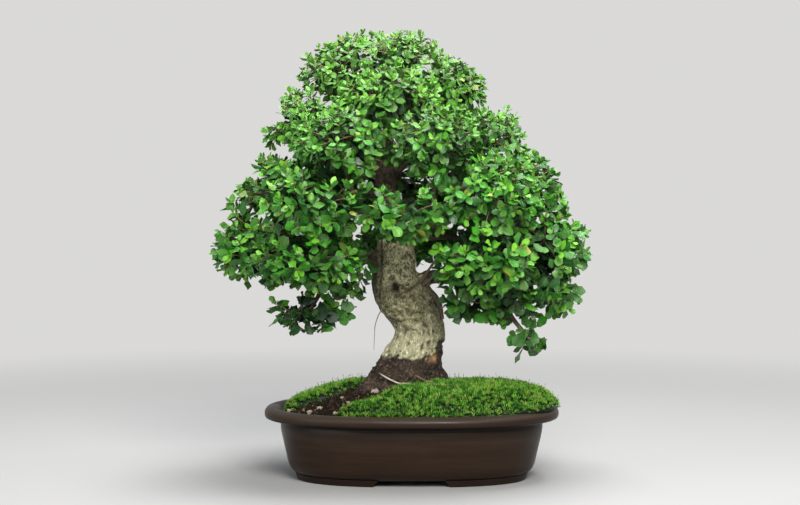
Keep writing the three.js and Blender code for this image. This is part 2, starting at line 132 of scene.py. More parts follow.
class Wire:
    # One output socket in a material. Arithmetic on wires adds Math nodes.
    def __init__(self, tree, socket=None):
        self.tree = tree
        self.socket = socket

    def add(self, kind, settings=None, inputs=None, out=0):
        # any node: its type, its settings, then the values or wires of its sockets
        node = self.tree.nodes.new(kind)
        for name, value in (settings or {}).items():
            setattr(node, name, value)
        for name, value in (inputs or {}).items():
            if isinstance(value, Wire):
                self.tree.links.new(value.socket, node.inputs[name])
            else:
                node.inputs[name].default_value = value
        return Wire(self.tree, node.outputs[out]) if node.outputs else None

    def maths(self, operation, *values):
        return self.add("ShaderNodeMath", {"operation": operation}, dict(enumerate(values)))

    def __add__(self, other):
        return self.maths("ADD", self, other)

    def __sub__(self, other):
        return self.maths("SUBTRACT", self, other)

    def __rsub__(self, other):
        return self.maths("SUBTRACT", other, self)

    def __mul__(self, other):
        return self.maths("MULTIPLY", self, other)

    __radd__ = __add__
    __rmul__ = __mul__

    def step(self, low, high):
        # 0 below low, 1 above high and smooth between them
        ends = {"Value": self, "From Min": low, "From Max": high}
        return self.add("ShaderNodeMapRange", {"interpolation_type": "SMOOTHSTEP"}, ends)

    def mix(self, first, second):
        # from the first colour to the second as this wire goes from 0 to 1
        first, second = [c if isinstance(c, Wire) else (*c, 1) for c in (first, second)]
        settings = {"data_type": "RGBA", "clamp_factor": True}
        return self.add("ShaderNodeMix", settings, {0: self, 6: first, 7: second}, out=2)

    def coats(self, *layers):
        # this colour under further ones, each given after the share of it that shows
        colour = self
        for share, coat in layers:
            colour = share.mix(colour, coat)
        return colour

    def number(self, name):
        return self.add("ShaderNodeAttribute", {"attribute_name": name}, out="Fac")

    def along(self, axis):
        where = self.add("ShaderNodeTexCoord", out="Object")
        return self.add("ShaderNodeSeparateXYZ", {}, {0: where}, out=axis)

    def place(self, stretch):
        where = self.add("ShaderNodeTexCoord", out="Object")
        return self.add("ShaderNodeVectorMath", {"operation": "MULTIPLY"}, {0: where, 1: stretch})

    def noise(self, scale, detail=3.0, rough=0.5, stretch=(1, 1, 1), twist=0.0):
        inputs = {"Vector": self.place(stretch), "Scale": scale, "Detail": detail}
        inputs.update({"Roughness": rough, "Distortion": twist})
        return self.add("ShaderNodeTexNoise", {}, inputs)

    def cells(self, scale, stretch=(1, 1, 1)):
        inputs = {"Vector": self.place(stretch), "Scale": scale}
        return self.add("ShaderNodeTexVoronoi", {}, inputs, out="Distance")

    def bump(self, height, depth):
        return self.add("ShaderNodeBump", {}, {"Height": height, "Distance": depth}, out="Normal")


def material(name, paint):
    # paint gets a wire to start from and returns the inputs of the surface shader
    made = bpy.data.materials.new(name)
    made.use_nodes = True
    made.node_tree.nodes.clear()
    wire = Wire(made.node_tree)
    surface = wire.add("ShaderNodeBsdfPrincipled", {}, paint(wire))
    wire.add("ShaderNodeOutputMaterial", {}, {"Surface": surface})
    return made


# Curves, noise and meshes as whole arrays

def unit(vectors):
    return vectors / np.maximum(np.linalg.norm(vectors, axis=-1, keepdims=True), 1e-12)


def ease(low, high, value):
    # 0 below low, 1 above high, 3t^2 - 2t^3 between them
    t = np.clip((value - low) / (high - low), 0, 1)
    return t * t * (3 - 2 * t)


def between(low, high, share):
    return low + (high - low) * share


def bell(far):
    # e^-far^2
    return np.exp(-(far**2))


def circle(count):
    # angles all round
    return np.linspace(0, 2 * math.pi, count, endpoint=False)


def smoothPath(knots, count):
    # A curve through the knots, whose further columns may hold widths. Each span lasts the square root of
    # its length and is a cubic, with slopes that weigh those of the spans on both sides.
    knots = np.asarray(knots, float)
    span = np.sqrt(np.linalg.norm(np.diff(knots, axis=0), axis=1))[:, None]
    slope = np.diff(knots, axis=0) / span
    inner = (slope[:-1] * span[1:] + slope[1:] * span[:-1]) / (span[:-1] + span[1:])
    slopes = np.vstack([slope[:1], inner, slope[-1:]])
    clock = np.concatenate([[0], np.cumsum(span)])
    time = np.linspace(0, clock[-1], count)
    i = np.clip(np.searchsorted(clock, time, side="right") - 1, 0, len(span) - 1)
    t = (time - clock[i])[:, None] / span[i]
    ends = knots[i] * (2 * t**3 - 3 * t**2 + 1) + knots[i + 1] * (3 * t**2 - 2 * t**3)
    return ends + span[i] * (slopes[i] * (t**3 - 2 * t**2 + t) + slopes[i + 1] * (t**3 - t**2))


def scattered(cell, seed):
    # a repeatable random number from 0 to 1 for each whole-number cell
    n = cell[..., 0] * 374761393 + cell[..., 1] * 668265263 + cell[..., 2] * 1442695041 + seed * 1274126177
    n = (n ^ (n >> 13)) * 1274126177
    n = (n ^ (n >> 16)) & 0xFFFFFF
    return n / 0xFFFFFF


def noise(points, size, seed=0):
    # Smooth noise of about -1 to 1: a random slope at each corner of the cells, blended by
    # 6t^5 - 15t^4 + 10t^3
    where = points / size
    cell = np.floor(where).astype(np.int64)
    part = where - cell
    blend = part**3 * (part * (part * 6 - 15) + 10)
    total = np.zeros(points.shape[:-1])
    for corner in np.ndindex(2, 2, 2):
        corner = np.array(corner)
        slope = np.stack([scattered(cell + corner, 3 * seed + k) for k in range(3)], -1) * 2 - 1
        weight = np.prod(np.where(corner == 1, blend, 1 - blend), axis=-1)
        total += weight * (slope * (part - corner)).sum(-1)
    return total * 1.7


def noiseVectors(points, size, seed):
    # three noises side by side
    return np.stack([noise(points, size, seed + k) for k in range(3)], -1)


def layered(points, size, layers, seed=0):
    # noise at a size, and at half the size with half the height, and so on
    return sum(noise(points, size / 2**k, seed + k) / 2**k for k in range(layers))


def cells(points, size, seed=0):
    # the distance to the nearest of the random spots, one in each cell, in cells
    where = points / size
    cell = np.floor(where).astype(np.int64)
    near = np.full(points.shape[:-1], 9.0)
    for step in np.ndindex(3, 3, 3):
        other = cell + np.array(step) - 1
        spot = other + np.stack([scattered(other, 3 * seed + 50 + k) for k in range(3)], -1)
        near = np.minimum(near, np.linalg.norm(spot - where, axis=-1))
    return near


def copies(faces, count, size):
    # the faces of many copies of one shape that has size points
    return (faces + (np.arange(count) * size)[:, None, None]).reshape(-1, faces.shape[1])


def gridFaces(rows, columns):
    # quads between the rows of a closed grid, whose points are numbered row by row
    row = np.arange(rows - 1)[:, None] * columns
    column = np.arange(columns)[None, :]
    beside = (column + 1) % columns
    quads = np.stack([row + column, row + beside, row + columns + beside, row + columns + column], -1)
    return quads.reshape(-1, 4)


def tubeFaces(rows, columns):
    # the quads between the rings of a tube, and a fan over each end, whose middles are the last two points
    spoke = np.arange(columns)
    beside = (spoke + 1) % columns
    last = (rows - 1) * columns
    first, final = np.full(columns, rows * columns), np.full(columns, rows * columns + 1)
    fans = [np.stack([first, beside, spoke], -1), np.stack([final, last + spoke, last + beside], -1)]
    return [gridFaces(rows, columns), np.concatenate(fans)]


def welded(points, quads):
    # Joins the points that coincide. A quad that loses a corner becomes a triangle.
    whole = np.round(points / (0.01 * mm)).astype(np.int64)
    _, first, index = np.unique(whole, axis=0, return_index=True, return_inverse=True)
    quads = index.reshape(-1)[quads]
    same = quads == np.roll(quads, -1, axis=1)
    lost = same.sum(1)
    tris = quads[lost == 1][~same[lost == 1]].reshape(-1, 3)
    return points[first], [quads[lost == 0], tris]


def stacked(blocks):
    # several (points, [quads, tris]) as one
    points = np.concatenate([block[0] for block in blocks])
    starts = np.cumsum([0] + [len(block[0]) for block in blocks])
    faces = [[block[1][k] + start for block, start in zip(blocks, starts)] for k in range(2)]
    return points, [np.concatenate(part) for part in faces]


def tubes(paths, radii, sides):
    # Closed tubes along many paths at once, paths (n, k, 3) and radii (n, k). A point is the path's point
    # plus radius * (cos a * side + sin a * third); the side is carried along and kept square to the path.
    n, k = radii.shape
    along = unit(np.gradient(paths, axis=1))
    side = np.empty_like(along)
    held = np.where(np.abs(along[:, 0, 2:]) < 0.8, [[0.0, 0, 1]], [[1.0, 0, 0]])
    for step in range(k):
        held = unit(held - along[:, step] * (held * along[:, step]).sum(-1, keepdims=True))
        side[:, step] = held
    third = np.cross(along, side)
    turn = circle(sides)[:, None]
    ring = side[:, :, None] * np.cos(turn) + third[:, :, None] * np.sin(turn)
    points = paths[:, :, None] + radii[:, :, None, None] * ring
    points = np.concatenate([points.reshape(n, k * sides, 3), paths[:, :1], paths[:, -1:]], axis=1)
    return points.reshape(-1, 3), [copies(part, *points.shape[:2]) for part in tubeFaces(k, sides)]


def triangleBlock(points, tris):
    # copies of one shape of triangles, points (n, k, 3), as a block for stacked
    return points.reshape(-1, 3), [np.empty((0, 4), int), copies(tris, *points.shape[:2])]


def store(items, key, values, kind=np.float32):
    # one value or row for each of the mesh's items, and fetch reads them back
    items.foreach_set(key, np.ascontiguousarray(values, kind).ravel())


def fetch(items, key, width, kind=np.float32):
    values = np.empty(len(items) * width, kind)
    items.foreach_get(key, values)
    return values.reshape(-1, width)


def storeNumbers(mesh, numbers):
    for key, values in numbers.items():
        store(mesh.attributes.new(key, "FLOAT", "POINT").data, "value", values)


def makeMesh(name, points, faces, numbers=None, maps=None):
    # faces: quads and triangles. numbers: a value for each point. maps: a UV pair for each face corner.
    mesh = bpy.data.meshes.new(name)
    faces = [part for part in faces if len(part)]
    corners = np.concatenate([part.ravel() for part in faces])
    counts = np.concatenate([np.full(len(part), part.shape[1]) for part in faces])
    mesh.vertices.add(len(points))
    store(mesh.vertices, "co", points)
    mesh.loops.add(len(corners))
    store(mesh.loops, "vertex_index", corners, np.int32)
    mesh.polygons.add(len(counts))
    store(mesh.polygons, "loop_start", np.cumsum(counts) - counts, np.int32)
    mesh.update(calc_edges=True)
    mesh.shade_smooth()
    storeNumbers(mesh, numbers or {})
    for key, pairs in (maps or {}).items():
        store(mesh.uv_layers.new(name=key).uv, "vector", pairs)
    return mesh


def addPiece(name, mesh, look, node):
    mesh.materials.append(look)
    piece = linked(name, mesh)
    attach(piece, "root")
    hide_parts(node)
    return piece


def settle(piece):
    # applies the piece's modifiers
    graph = bpy.context.evaluated_depsgraph_get()
    mesh = bpy.data.meshes.new_from_object(piece.evaluated_get(graph))
    piece.modifiers.clear()
    piece.data = mesh


def meshPoints(mesh):
    return fetch(mesh.vertices, "co", 3).astype(float)


def meshEdges(mesh):
    return fetch(mesh.edges, "vertices", 2, np.int32)


def boxOf(node):
    return [np.array(corner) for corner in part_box(node)]


# Floor

def paintFloor(wire):
    # pale paper that turns into the colour of the air far from the pot
    x, y = wire.along("X"), wire.along("Y")
    near, far = studio["fade"]
    gone = (x * x + y * y).step(near**2, far**2)
    tone = wire.noise(1.3, 2.0).mix((0.29, 0.288, 0.282), (0.32, 0.318, 0.312))
    black = (0.0, 0.0, 0.0)
    return {
        "Base Color": gone.mix(tone, black),
        "Emission Color": gone.mix(black, studio["horizon"]),
        "Emission Strength": 1.0,
        "Roughness": 0.8,
        "Specular IOR Level": 0.0,
    }


def makeFloor():
    half = studio["floorSize"] / 2
    points = half * np.array([[-1, -1, 0], [1, -1, 0], [1, 1, 0], [-1, 1, 0]])
    floor = linked("floor", makeMesh("floor", points, [np.array([[0, 1, 2, 3]])]))
    floor.data.materials.append(material("floorPaper", paintFloor))


# Pot: an oval of dark stoneware

pot = {
    "centre": 15 * mm,
    "stretch": 70 * mm,  # how much longer than deep, to each side
    "squareness": 2.4,  # 2 would be an ellipse
    "around": 176,
    "steps": 96,
    # half depth and height: under the floor, up the outside, over the lip and down inside
    "profile": np.array([
        (0, 9), (97, 9), (102.6, 10), (107, 12.5), (111.4, 17), (115, 25), (118.6, 41), (122.4, 57),
        (125, 70), (126.2, 82), (125.2, 86.5), (128.5, 90.2), (140, 91.2), (148.5, 93.2), (150, 97),
        (150, 101.5), (147.8, 105), (142, 107.3), (136, 108), (132.5, 107.3), (130, 104.6), (126, 99),
        (121, 92.5), (119, 84), (118.6, 70), (117, 57), (113.5, 41), (110, 29), (107, 22), (100, 17.2),
        (96, 17), (0, 17),
    ]) * mm,
    "foot": np.array([(80, 0.8), (81, 0), (100.6, 0), (102, 0.5), (102.6, 1.8), (104.5, 10), (80, 10)]) * mm,
    "footSteps": 72,
    "archLow": 57.5 * mm,  # half the arch between the feet, on the ground and at its top
    "archHigh": 48.5 * mm,
    "archTop": 10 * mm,
    "holes": (-70 * mm, 100 * mm),
    "holeRadius": 15 * mm,
    # half depth and height of the lip, from the wall inside to the outer edge, for what lies on it
    "lipLine": np.array([
        (118, 85), (121, 93), (126, 99.5), (130, 105), (136, 108.5), (142, 107.8), (147.8, 105.5),
        (150, 102),
    ]) * mm,
}


def squared(value):
    return np.sign(value) * np.abs(value) ** (2 / pot["squareness"])


def onOval(half, height, turn):
    # x = centre + (half + stretch) * cos^(2/s), y = half * sin^(2/s), with the signs of cos and sin
    x = pot["centre"] + (half + pot["stretch"]) * squared(np.cos(turn))
    y = half * squared(np.sin(turn))
    return np.stack(np.broadcast_arrays(x, y, height), -1)


def ovalHalf(x, y):
    # the half depth of the oval through (x, y), found by halving
    low, high = np.zeros(np.shape(x)), np.full(np.shape(x), 0.3)
    power = pot["squareness"]
    for _ in range(24):
        half = (low + high) / 2
        across = (np.abs(x - pot["centre"]) / (half + pot["stretch"])) ** power
        outside = across + (np.abs(y) / half) ** power > 1
        low, high = np.where(outside, half, low), np.where(outside, high, half)
    return low


def paintStoneware(wire):
    height = wire.along("Z")
    # lighter streaks: the glaze's own wiped marks and a painted satin sheen
    wipedAndSheen = wire.noise(14.0, 5.0, 0.65, (0.35, 0.35, 6.0)).step(0.42, 0.75)
    # painted shade: the body is made near black just under the lip, where the lip shades it
    shadeUnderLip = height.step(0.0825, 0.087) * height.step(0.0965, 0.0915)
    specks = wire.cells(620.0).step(0.16, 0.05) * wire.noise(60.0).step(0.45, 0.65)
    body = wire.noise(9.0, 4.0, 0.6).mix((0.0120, 0.0062, 0.0034), (0.0190, 0.0102, 0.0056))
    body = body.coats(
        (wipedAndSheen * 0.35, (0.036, 0.022, 0.015)),
        # a lighter band on the lip's top: its own paler glaze and a painted highlight along its upper edge
        (height.step(0.0985, 0.1065) * 0.55, (0.052, 0.039, 0.028)),
        (shadeUnderLip * 0.85, (0.003, 0.002, 0.0015)),
        # painted shade: the body darker towards the floor, on the feet
        (height.step(0.013, 0.007) * 0.5, (0.005, 0.0028, 0.0018)),
        (specks * 0.3, (0.085, 0.065, 0.05)),
    )
    grain = wire.noise(420.0, 3.0, 0.6) * 0.5 + wire.noise(60.0, 3.0, 0.5, (0.3, 0.3, 3.0)) * 0.6
    return {
        "Base Color": body,
        "Roughness": wire.noise(22.0, 3.0).step(0.3, 0.7) * 0.16 + 0.32,
        "Normal": wire.bump(grain, 0.22 * mm),
        "Specular IOR Level": 0.15,
    }


def footRing(side):
    # One foot, a C seen from above. Each point's share along the foot lies between the angles at which its
    # own oval meets the slanted faces of the arch at the front and at the back.
    half, height = pot["foot"].T
    arch = pot["archLow"] + (pot["archHigh"] - pot["archLow"]) * height / pot["archTop"]
    end = np.arccos((arch / (half + pot["stretch"])) ** (pot["squareness"] / 2))
    turn = np.linspace(-1, 1, pot["footSteps"])[:, None] * end + (0 if side > 0 else math.pi)
    points = onOval(half, height, turn)
    ends = np.stack([points[0].mean(0), points[-1].mean(0)])
    return np.concatenate([points.reshape(-1, 3), ends]), tubeFaces(*turn.shape)


def makePot():
    half, height = smoothPath(pot["profile"], pot["steps"]).T
    bowl = onOval(half[:, None], height[:, None], circle(pot["around"]))
    bowl = welded(bowl.reshape(-1, 3), gridFaces(pot["steps"], pot["around"]))
    mesh = makeMesh("pot", *stacked([bowl, footRing(-1), footRing(1)]))
    piece = addPiece("oval_pot", mesh, material("stoneware", paintStoneware), "pot")
    drills = []
    for x in pot["holes"]:
        path = np.array([[[x, 0, -0.01], [x, 0, 0.03]]])
        shape = tubes(path, np.full((1, 2), pot["holeRadius"]), 40)
        drills.append(linked("drill", makeMesh("drill", *shape)))
        piece.modifiers.new("hole", "BOOLEAN").object = drills[-1]
    settle(piece)
    for drill in drills:
        bpy.data.objects.remove(drill)
    piece.data.set_sharp_from_angle(angle=math.radians(50))
    print("pot:", len(piece.data.polygons), "faces")


# Soil, crumbs and pumice

soil = {
    "edge": 98 * mm,
    "peak": 138 * mm,
    "spread": (184 * mm, 220 * mm, 118 * mm),  # to the left, to the right, and to the front and back
    "middle": 10 * mm,
    "ripple": 1.6 * mm,
    # half depth and height of the side that lies against the pot, from the floor up
    "side": np.array([(0, 20.1), (98.5, 20.1), (106, 25), (112.5, 41.5), (117.5, 70), (118.6, 90)]) * mm,
    "rim": 122 * mm,
    "rings": 54,
    "around": 260,
    "crumbs": 3000,
    "crumbTries": 20000,
    "crumbField": ((-0.185, 0.215), (-0.12, 0.12)),  # ends in x and in y
    "crumbSize": (0.9 * mm, 3.0 * mm),
    "stones": 7,
}
mossCushions = {
    # middle, half length and width, turn in degrees, thickness, its extra share at the +X end, tufts' pitch
    "moss_right": ((150 * mm, -4 * mm), (88 * mm, 100 * mm), 4, 19 * mm, 0.55, 3.9 * mm),
    "moss_front": ((62 * mm, -72 * mm), (150 * mm, 50 * mm), 12, 15 * mm, 0.0, 3.8 * mm),
    "moss_left": ((-112 * mm, 26 * mm), (70 * mm, 52 * mm), 35, 13 * mm, 0.0, 3.9 * mm),
    "moss_back": ((30 * mm, 86 * mm), (150 * mm, 40 * mm), -4, 14 * mm, 0.0, 4.2 * mm),
}
moss = {
    # half depth of the oval where the moss ends: at the sides, and at the right end, where it laps the lip
    "reach": (127 * mm, 149.5 * mm),
    "lapFrom": (150 * mm, 212 * mm),
    "soft": 2 * mm,  # how softly one cushion passes into the next
    "rings": 30,
    "around": 120,
    # a round place beside the trunk that stays bare: x, y, radius
    "bare": (-40 * mm, -53 * mm, 27 * mm),
    "leaflets": 6,
    "tuft": (4.6 * mm, 9.2 * mm),
    "dry": 0.03,  # share of dry tufts
    "stalks": 70,  # spore stalks on each cushion
    "stalkHeight": (8 * mm, 13 * mm),
}


def soilTop(x, y):
    # a mound: edge + (peak - edge) * (1 - distance^2)^0.9, with a ripple
    left, right, across = soil["spread"]
    along = x - soil["middle"]
    away = (along / np.where(along < 0, left, right)) ** 2 + (y / across) ** 2
    rise = np.clip(1 - away, 0, 1) ** 0.9
    ripple = soil["ripple"] * np.sin(x / mm * 0.061 + 1) * np.cos(y / mm * 0.083)
    return between(soil["edge"], soil["peak"], rise) + ripple * np.minimum(1, rise * 3)


def onGround(x, y):
    return np.stack([x, y, 0 * x], -1)


def inCushion(name, x, y):
    # a point's place along a cushion, -1 to 1, and its share of the way from the middle to the wavy outline
    (cx, cy), (long, wide), turn = mossCushions[name][:3]
    c, s = math.cos(math.radians(turn)), math.sin(math.radians(turn))
    a = ((x - cx) * c + (y - cy) * s) / long
    b = ((y - cy) * c - (x - cx) * s) / wide
    wave = 1 + 0.06 * np.sin(3 * np.arctan2(b, a) + turn)
    rough = noise(onGround(x, y), 11 * mm, 4) * 0.04
    bareX, bareY, radius = moss["bare"]
    bite = np.exp(-((x - bareX) ** 2 + (y - bareY) ** 2) / radius**2) * 0.6
    return a, np.hypot(a, b) / wave + rough + bite


def cushionLift(name, x, y):
    # height over the soil: thickness * (1 + lean * along) * (1 - 0.6 share^8), falling beyond the outline
    thick, lean = mossCushions[name][3:5]
    along, share = inCushion(name, x, y)
    full = thick * (1 + lean * np.clip(along, -1, 1)) * (1 - 0.6 * np.minimum(share, 1) ** 8)
    return full - ease(0.96, 1.12, share) * 22 * mm


def mossTop(x, y):
    # The surface of all moss: the soil plus k ln(sum of e^(lift / k)) over the cushions, with small lumps.
    # The second result is how far each cushion lies under the highest one.
    lifts = np.stack([cushionLift(name, x, y) for name in mossCushions])
    place = onGround(x, y)
    lumps = noise(place, 30 * mm, 7) * 2.4 * mm + noise(place, 11 * mm, 8) * 1.6 * mm
    top = moss["soft"] * np.log(np.exp(lifts / moss["soft"]).sum(0))
    return soilTop(x, y) + top + lumps, lifts.max(0) - lifts


def mossReach(x):
    # how far out on the oval the moss may lie at an x
    return between(*moss["reach"], ease(*moss["lapFrom"], x))


def icosphere(level):
    # 12 points of an icosahedron on the unit sphere, each triangle split in 4 at each level past the first
    ball = bpy.data.meshes.new("ball")
    shape = bmesh.new()
    bmesh.ops.create_icosphere(shape, subdivisions=level, radius=1)
    shape.to_mesh(ball)
    shape.free()
    points, corners = meshPoints(ball), fetch(ball.loops, "vertex_index", 1, np.int32)
    bpy.data.meshes.remove(ball)
    return points, corners.reshape(-1, 3)


def randomTurns(count):
    # random rotations, from random unit quaternions
    w, x, y, z = unit(dice.normal(size=(count, 4))).T
    rows = [
        [1 - 2 * (y * y + z * z), 2 * (x * y - w * z), 2 * (x * z + w * y)],
        [2 * (x * y + w * z), 1 - 2 * (x * x + z * z), 2 * (y * z - w * x)],
        [2 * (x * z - w * y), 2 * (y * z + w * x), 1 - 2 * (x * x + y * y)],
    ]
    return np.moveaxis(np.array(rows), 2, 0)


def paintSoil(wire):
    tone = wire.number("tone")
    dark = wire.noise(55.0, 5.0, 0.65).mix((0.003, 0.0022, 0.0016), (0.017, 0.012, 0.008))
    colour = dark.coats(
        (tone.step(0.3, 0.75) * wire.noise(120.0).step(0.35, 0.65), (0.042, 0.025, 0.015)),
        (tone.step(0.95, 0.98) * 0.7, (0.19, 0.145, 0.09)),
    )
    bumps = wire.bump(wire.cells(300.0) * -0.7 + wire.noise(900.0, 2.0) * 0.5, 0.7 * mm)
    return {"Base Color": colour, "Roughness": 0.92, "Normal": bumps, "Specular IOR Level": 0.1}


def makeSoil():
    # The ground is the soil's side and its top, the mound with rounded grains and low waves. Crumbs, which
    # are stretched balls with uneven radii, lie where no moss is.
    half = np.concatenate([soil["side"][:, 0], np.linspace(soil["rim"], 0, soil["rings"])])
    height = np.concatenate([soil["side"][:, 1], np.full(soil["rings"], soil["edge"])])
    points = onOval(half[:, None], height[:, None], circle(soil["around"]))
    top = points[len(soil["side"]):]
    flat = top * [1, 1, 0]
    grains = (0.55 - cells(flat, 4.6 * mm, 2)) * 2.0 * mm + layered(flat, 16 * mm, 2, 3) * 1.6 * mm
    top[..., 2] = soilTop(top[..., 0], top[..., 1]) + grains
    ground = welded(points.reshape(-1, 3), gridFaces(len(half), soil["around"]))

    ball, tris = icosphere(1)
    x, y = [dice.uniform(*ends, soil["crumbTries"]) for ends in soil["crumbField"]]
    covered = np.min([inCushion(name, x, y)[1] for name in mossCushions], axis=0) < 0.95
    bare = np.flatnonzero((ovalHalf(x, y) < soil["rim"] - 3 * mm) & ~covered)[: soil["crumbs"]]
    x, y = x[bare], y[bare]
    size = between(*soil["crumbSize"], dice.random(len(x)) ** 2.5)
    lumps = ball * dice.uniform(0.65, 1.2, (len(x), len(ball), 1)) * size[:, None, None]
    lumps = np.einsum("nij,nkj->nki", randomTurns(len(x)), lumps * [1.25, 0.95, 0.75])
    lumps += np.stack([x, y, soilTop(x, y) + 0.6 * size], -1)[:, None]
    tone = np.concatenate([np.full(len(ground[0]), 0.2), np.repeat(dice.random(len(x)), len(ball))])
    mesh = makeMesh("soil", *stacked([ground, triangleBlock(lumps, tris)]), {"tone": tone})
    addPiece("soil_mound", mesh, material("soilGrains", paintSoil), "soil")
    print("soil:", len(mesh.polygons), "faces")


def paintPumice(wire):
    pits = wire.cells(520.0).step(0.3, 0.1)
    tone = wire.noise(160.0, 4.0, 0.6).mix((0.14, 0.115, 0.08), (0.34, 0.295, 0.22))
    tone = tone.coats((pits * 0.6, (0.12, 0.09, 0.06)))
    height = pits * -1.0 + wire.noise(500.0)
    return {"Base Color": tone, "Roughness": 0.9, "Normal": wire.bump(height, 0.4 * mm)}


def makeStones():
    # a ball scaled to the node's box: radius * (0.95 + noise - 0.12 * distance to the nearest random spot)
    look = material("pumiceStone", paintPumice)
    ball, tris = icosphere(4)
    for number in range(1, soil["stones"] + 1):
        node = f"pumice_{number}"
        low, high = boxOf(node)
        half = (high - low) / 2
        half[2] = 0.75 * half[:2].mean()
        middle = np.array([*(high + low)[:2] / 2, high[2] - half[2]])
        lump = 0.95 + 0.24 * layered(ball + 7 * number, 0.9, 3, number)
        facets = -0.12 * cells(ball + 3 * number, 0.7, number)
        points = middle + ball * (lump + facets)[:, None] * half
        addPiece(f"pumice_stone_{number}", makeMesh("stone", points, [tris]), look, node)
    print("pumice:", soil["stones"], "stones")


# Moss

def paintMoss(wire):
    tip, tone = wire.number("tip"), wire.number("tone")
    green = tone.mix((0.014, 0.105, 0.005), (0.125, 0.38, 0.016)).coats(
        (wire.noise(26.0, 2.0).step(0.5, 0.72) * 0.35, (0.22, 0.40, 0.03)),
        (tone.step(0.95, 0.98) * 0.7, (0.28, 0.21, 0.05)),
    )
    # painted shade: near black on the bed under the tufts and at the tufts' feet, where they shade each
    # other
    colour = tip.step(0.15, 0.9).mix((0.005, 0.010, 0.003), green)
    colour = colour.coats((tip.step(0.75, 1.0) * tone.step(0.1, 0.9) * 0.85, (0.44, 0.78, 0.16)))
    return {"Base Color": colour, "Roughness": 0.6, "Specular IOR Level": 0.2}


def lipTop(half):
    # the height of the pot's inner wall and lip at a half depth
    return np.interp(half, *pot["lipLine"].T)


def mossBed(name):
    # the cushion under the tufts: a grid over its outline, lower where another one covers it, closed below
    (cx, cy), (long, wide), turn = mossCushions[name][:3]
    share = np.concatenate([[0], np.linspace(1, 0, moss["rings"]) ** 0.8])[:, None]
    angle = circle(moss["around"])
    a = share * long * np.cos(angle) * 0.98
    b = share * wide * np.sin(angle) * 0.98
    c, s = math.cos(math.radians(turn)), math.sin(math.radians(turn))
    x, y = cx + a * c - b * s, cy + a * s + b * c
    inward = np.minimum(1, (mossReach(x) - 3 * mm) / np.maximum(ovalHalf(x, y), 1e-6))
    x, y = pot["centre"] + (x - pot["centre"]) * inward, y * inward
    top, under = mossTop(x, y)
    z = top - 1.2 * mm - 4 * mm * ease(0, 5 * mm, under[list(mossCushions).index(name)])
    z[0] = soilTop(cx, cy) - 6 * mm
    z[1] = np.maximum(soilTop(x[1], y[1]) - 3 * mm, lipTop(ovalHalf(x[1], y[1])))
    return welded(np.stack([x, y, z], -1).reshape(-1, 3), gridFaces(*x.shape))


def tuftShape():
    # Slim leaflets, each four triangles: from the foot to a widest place at both sides, and to a tip. All
    # but the last stand around the middle one.
    count = moss["leaflets"]
    turn = np.arange(count) * 2 * math.pi / (count - 1)
    rise = np.where(np.arange(count) < count - 1, 1.0, 1.45)
    way = np.stack([np.cos(turn) * np.cos(rise), np.sin(turn) * np.cos(rise), np.sin(rise)], -1)
    side = np.stack([-np.sin(turn), np.cos(turn), 0 * turn], -1)
    rows = [way * 0.05 - [0, 0, 0.25], way * 0.5 - side * 0.11, way * 0.5 + side * 0.11, way + [0, 0, 0.12]]
    tris = copies(np.array([[0, 1, 2], [1, 3, 2], [0, 3, 1], [0, 2, 3]]), count, 4)
    return np.stack(rows, 1).reshape(-1, 3), tris[:, ::-1], np.tile([0.1, 0.65, 0.65, 1.0], count)


def makeMoss():
    # tufts on a jittered grid where the cushion is the highest, each standing along the surface's slope
    look = material("mossGreen", paintMoss)
    shape, tris, tips = tuftShape()
    foot = wood["trunk"][2]
    for index, (name, (middle, half, _, _, _, pitch)) in enumerate(mossCushions.items()):
        reach = max(half) + 8 * mm
        grid = np.arange(-reach, reach, pitch)
        x, y = [
            flat.ravel() + centre + dice.uniform(-0.55, 0.55, flat.size) * pitch
            for flat, centre in zip(np.meshgrid(grid, grid), middle)
        ]
        share = inCushion(name, x, y)[1]
        keep = (share < 1.02) & (ovalHalf(x, y) < mossReach(x)) & (mossTop(x, y)[1][index] == 0)
        keep &= np.hypot((x - foot[0]) / foot[3], y / foot[4]) > 0.9
        x, y, share = x[keep], y[keep], share[keep]
        z = mossTop(x, y)[0]
        slope = 1.5 * mm
        dx = (mossTop(x + slope, y)[0] - z) / slope
        dy = (mossTop(x, y + slope)[0] - z) / slope
        z = np.maximum(z - 1 * mm, soilTop(x, y))
        steep = np.stack([-dx, -dy, np.ones(len(x))], -1)
        up = unit(unit(steep) + [0, 0, 0.4] + dice.normal(0, 0.24, (len(x), 3)))
        east = unit(np.cross(up, dice.normal(size=(len(x), 3))))
        axes = np.stack([east, np.cross(up, east), up], -1)
        size = dice.uniform(*moss["tuft"], len(x)) * (1 - 0.25 * share)
        points = np.einsum("nij,kj->nki", axes, shape) * size[:, None, None]
        points += np.stack([x, y, z], -1)[:, None]
        tone = 0.45 + 0.35 * layered(onGround(x, y), 16 * mm, 2, 5) + dice.normal(0, 0.28, len(x))
        tone = np.clip(np.where(dice.random(len(x)) < moss["dry"], 0.98, tone), 0, 1)
        # each part with its values of tip and tone; the bed's tip of 0 paints it as shade
        parts = [
            (mossBed(name), 0.0, 0.3),
            (triangleBlock(points, tris), np.tile(tips, len(x)), np.repeat(tone, len(shape))),
            (mossStalks(x, y, z), 0.5, 0.99),
        ]
        numbers = {
            key: np.concatenate([np.broadcast_to(part[k], len(part[0][0])) for part in parts])
            for k, key in ((1, "tip"), (2, "tone"))
        }
        mesh = makeMesh(name, *stacked([part[0] for part in parts]), numbers)
        addPiece(f"{name}_tufts", mesh, look, name)
        print(name + ":", len(x), "tufts")


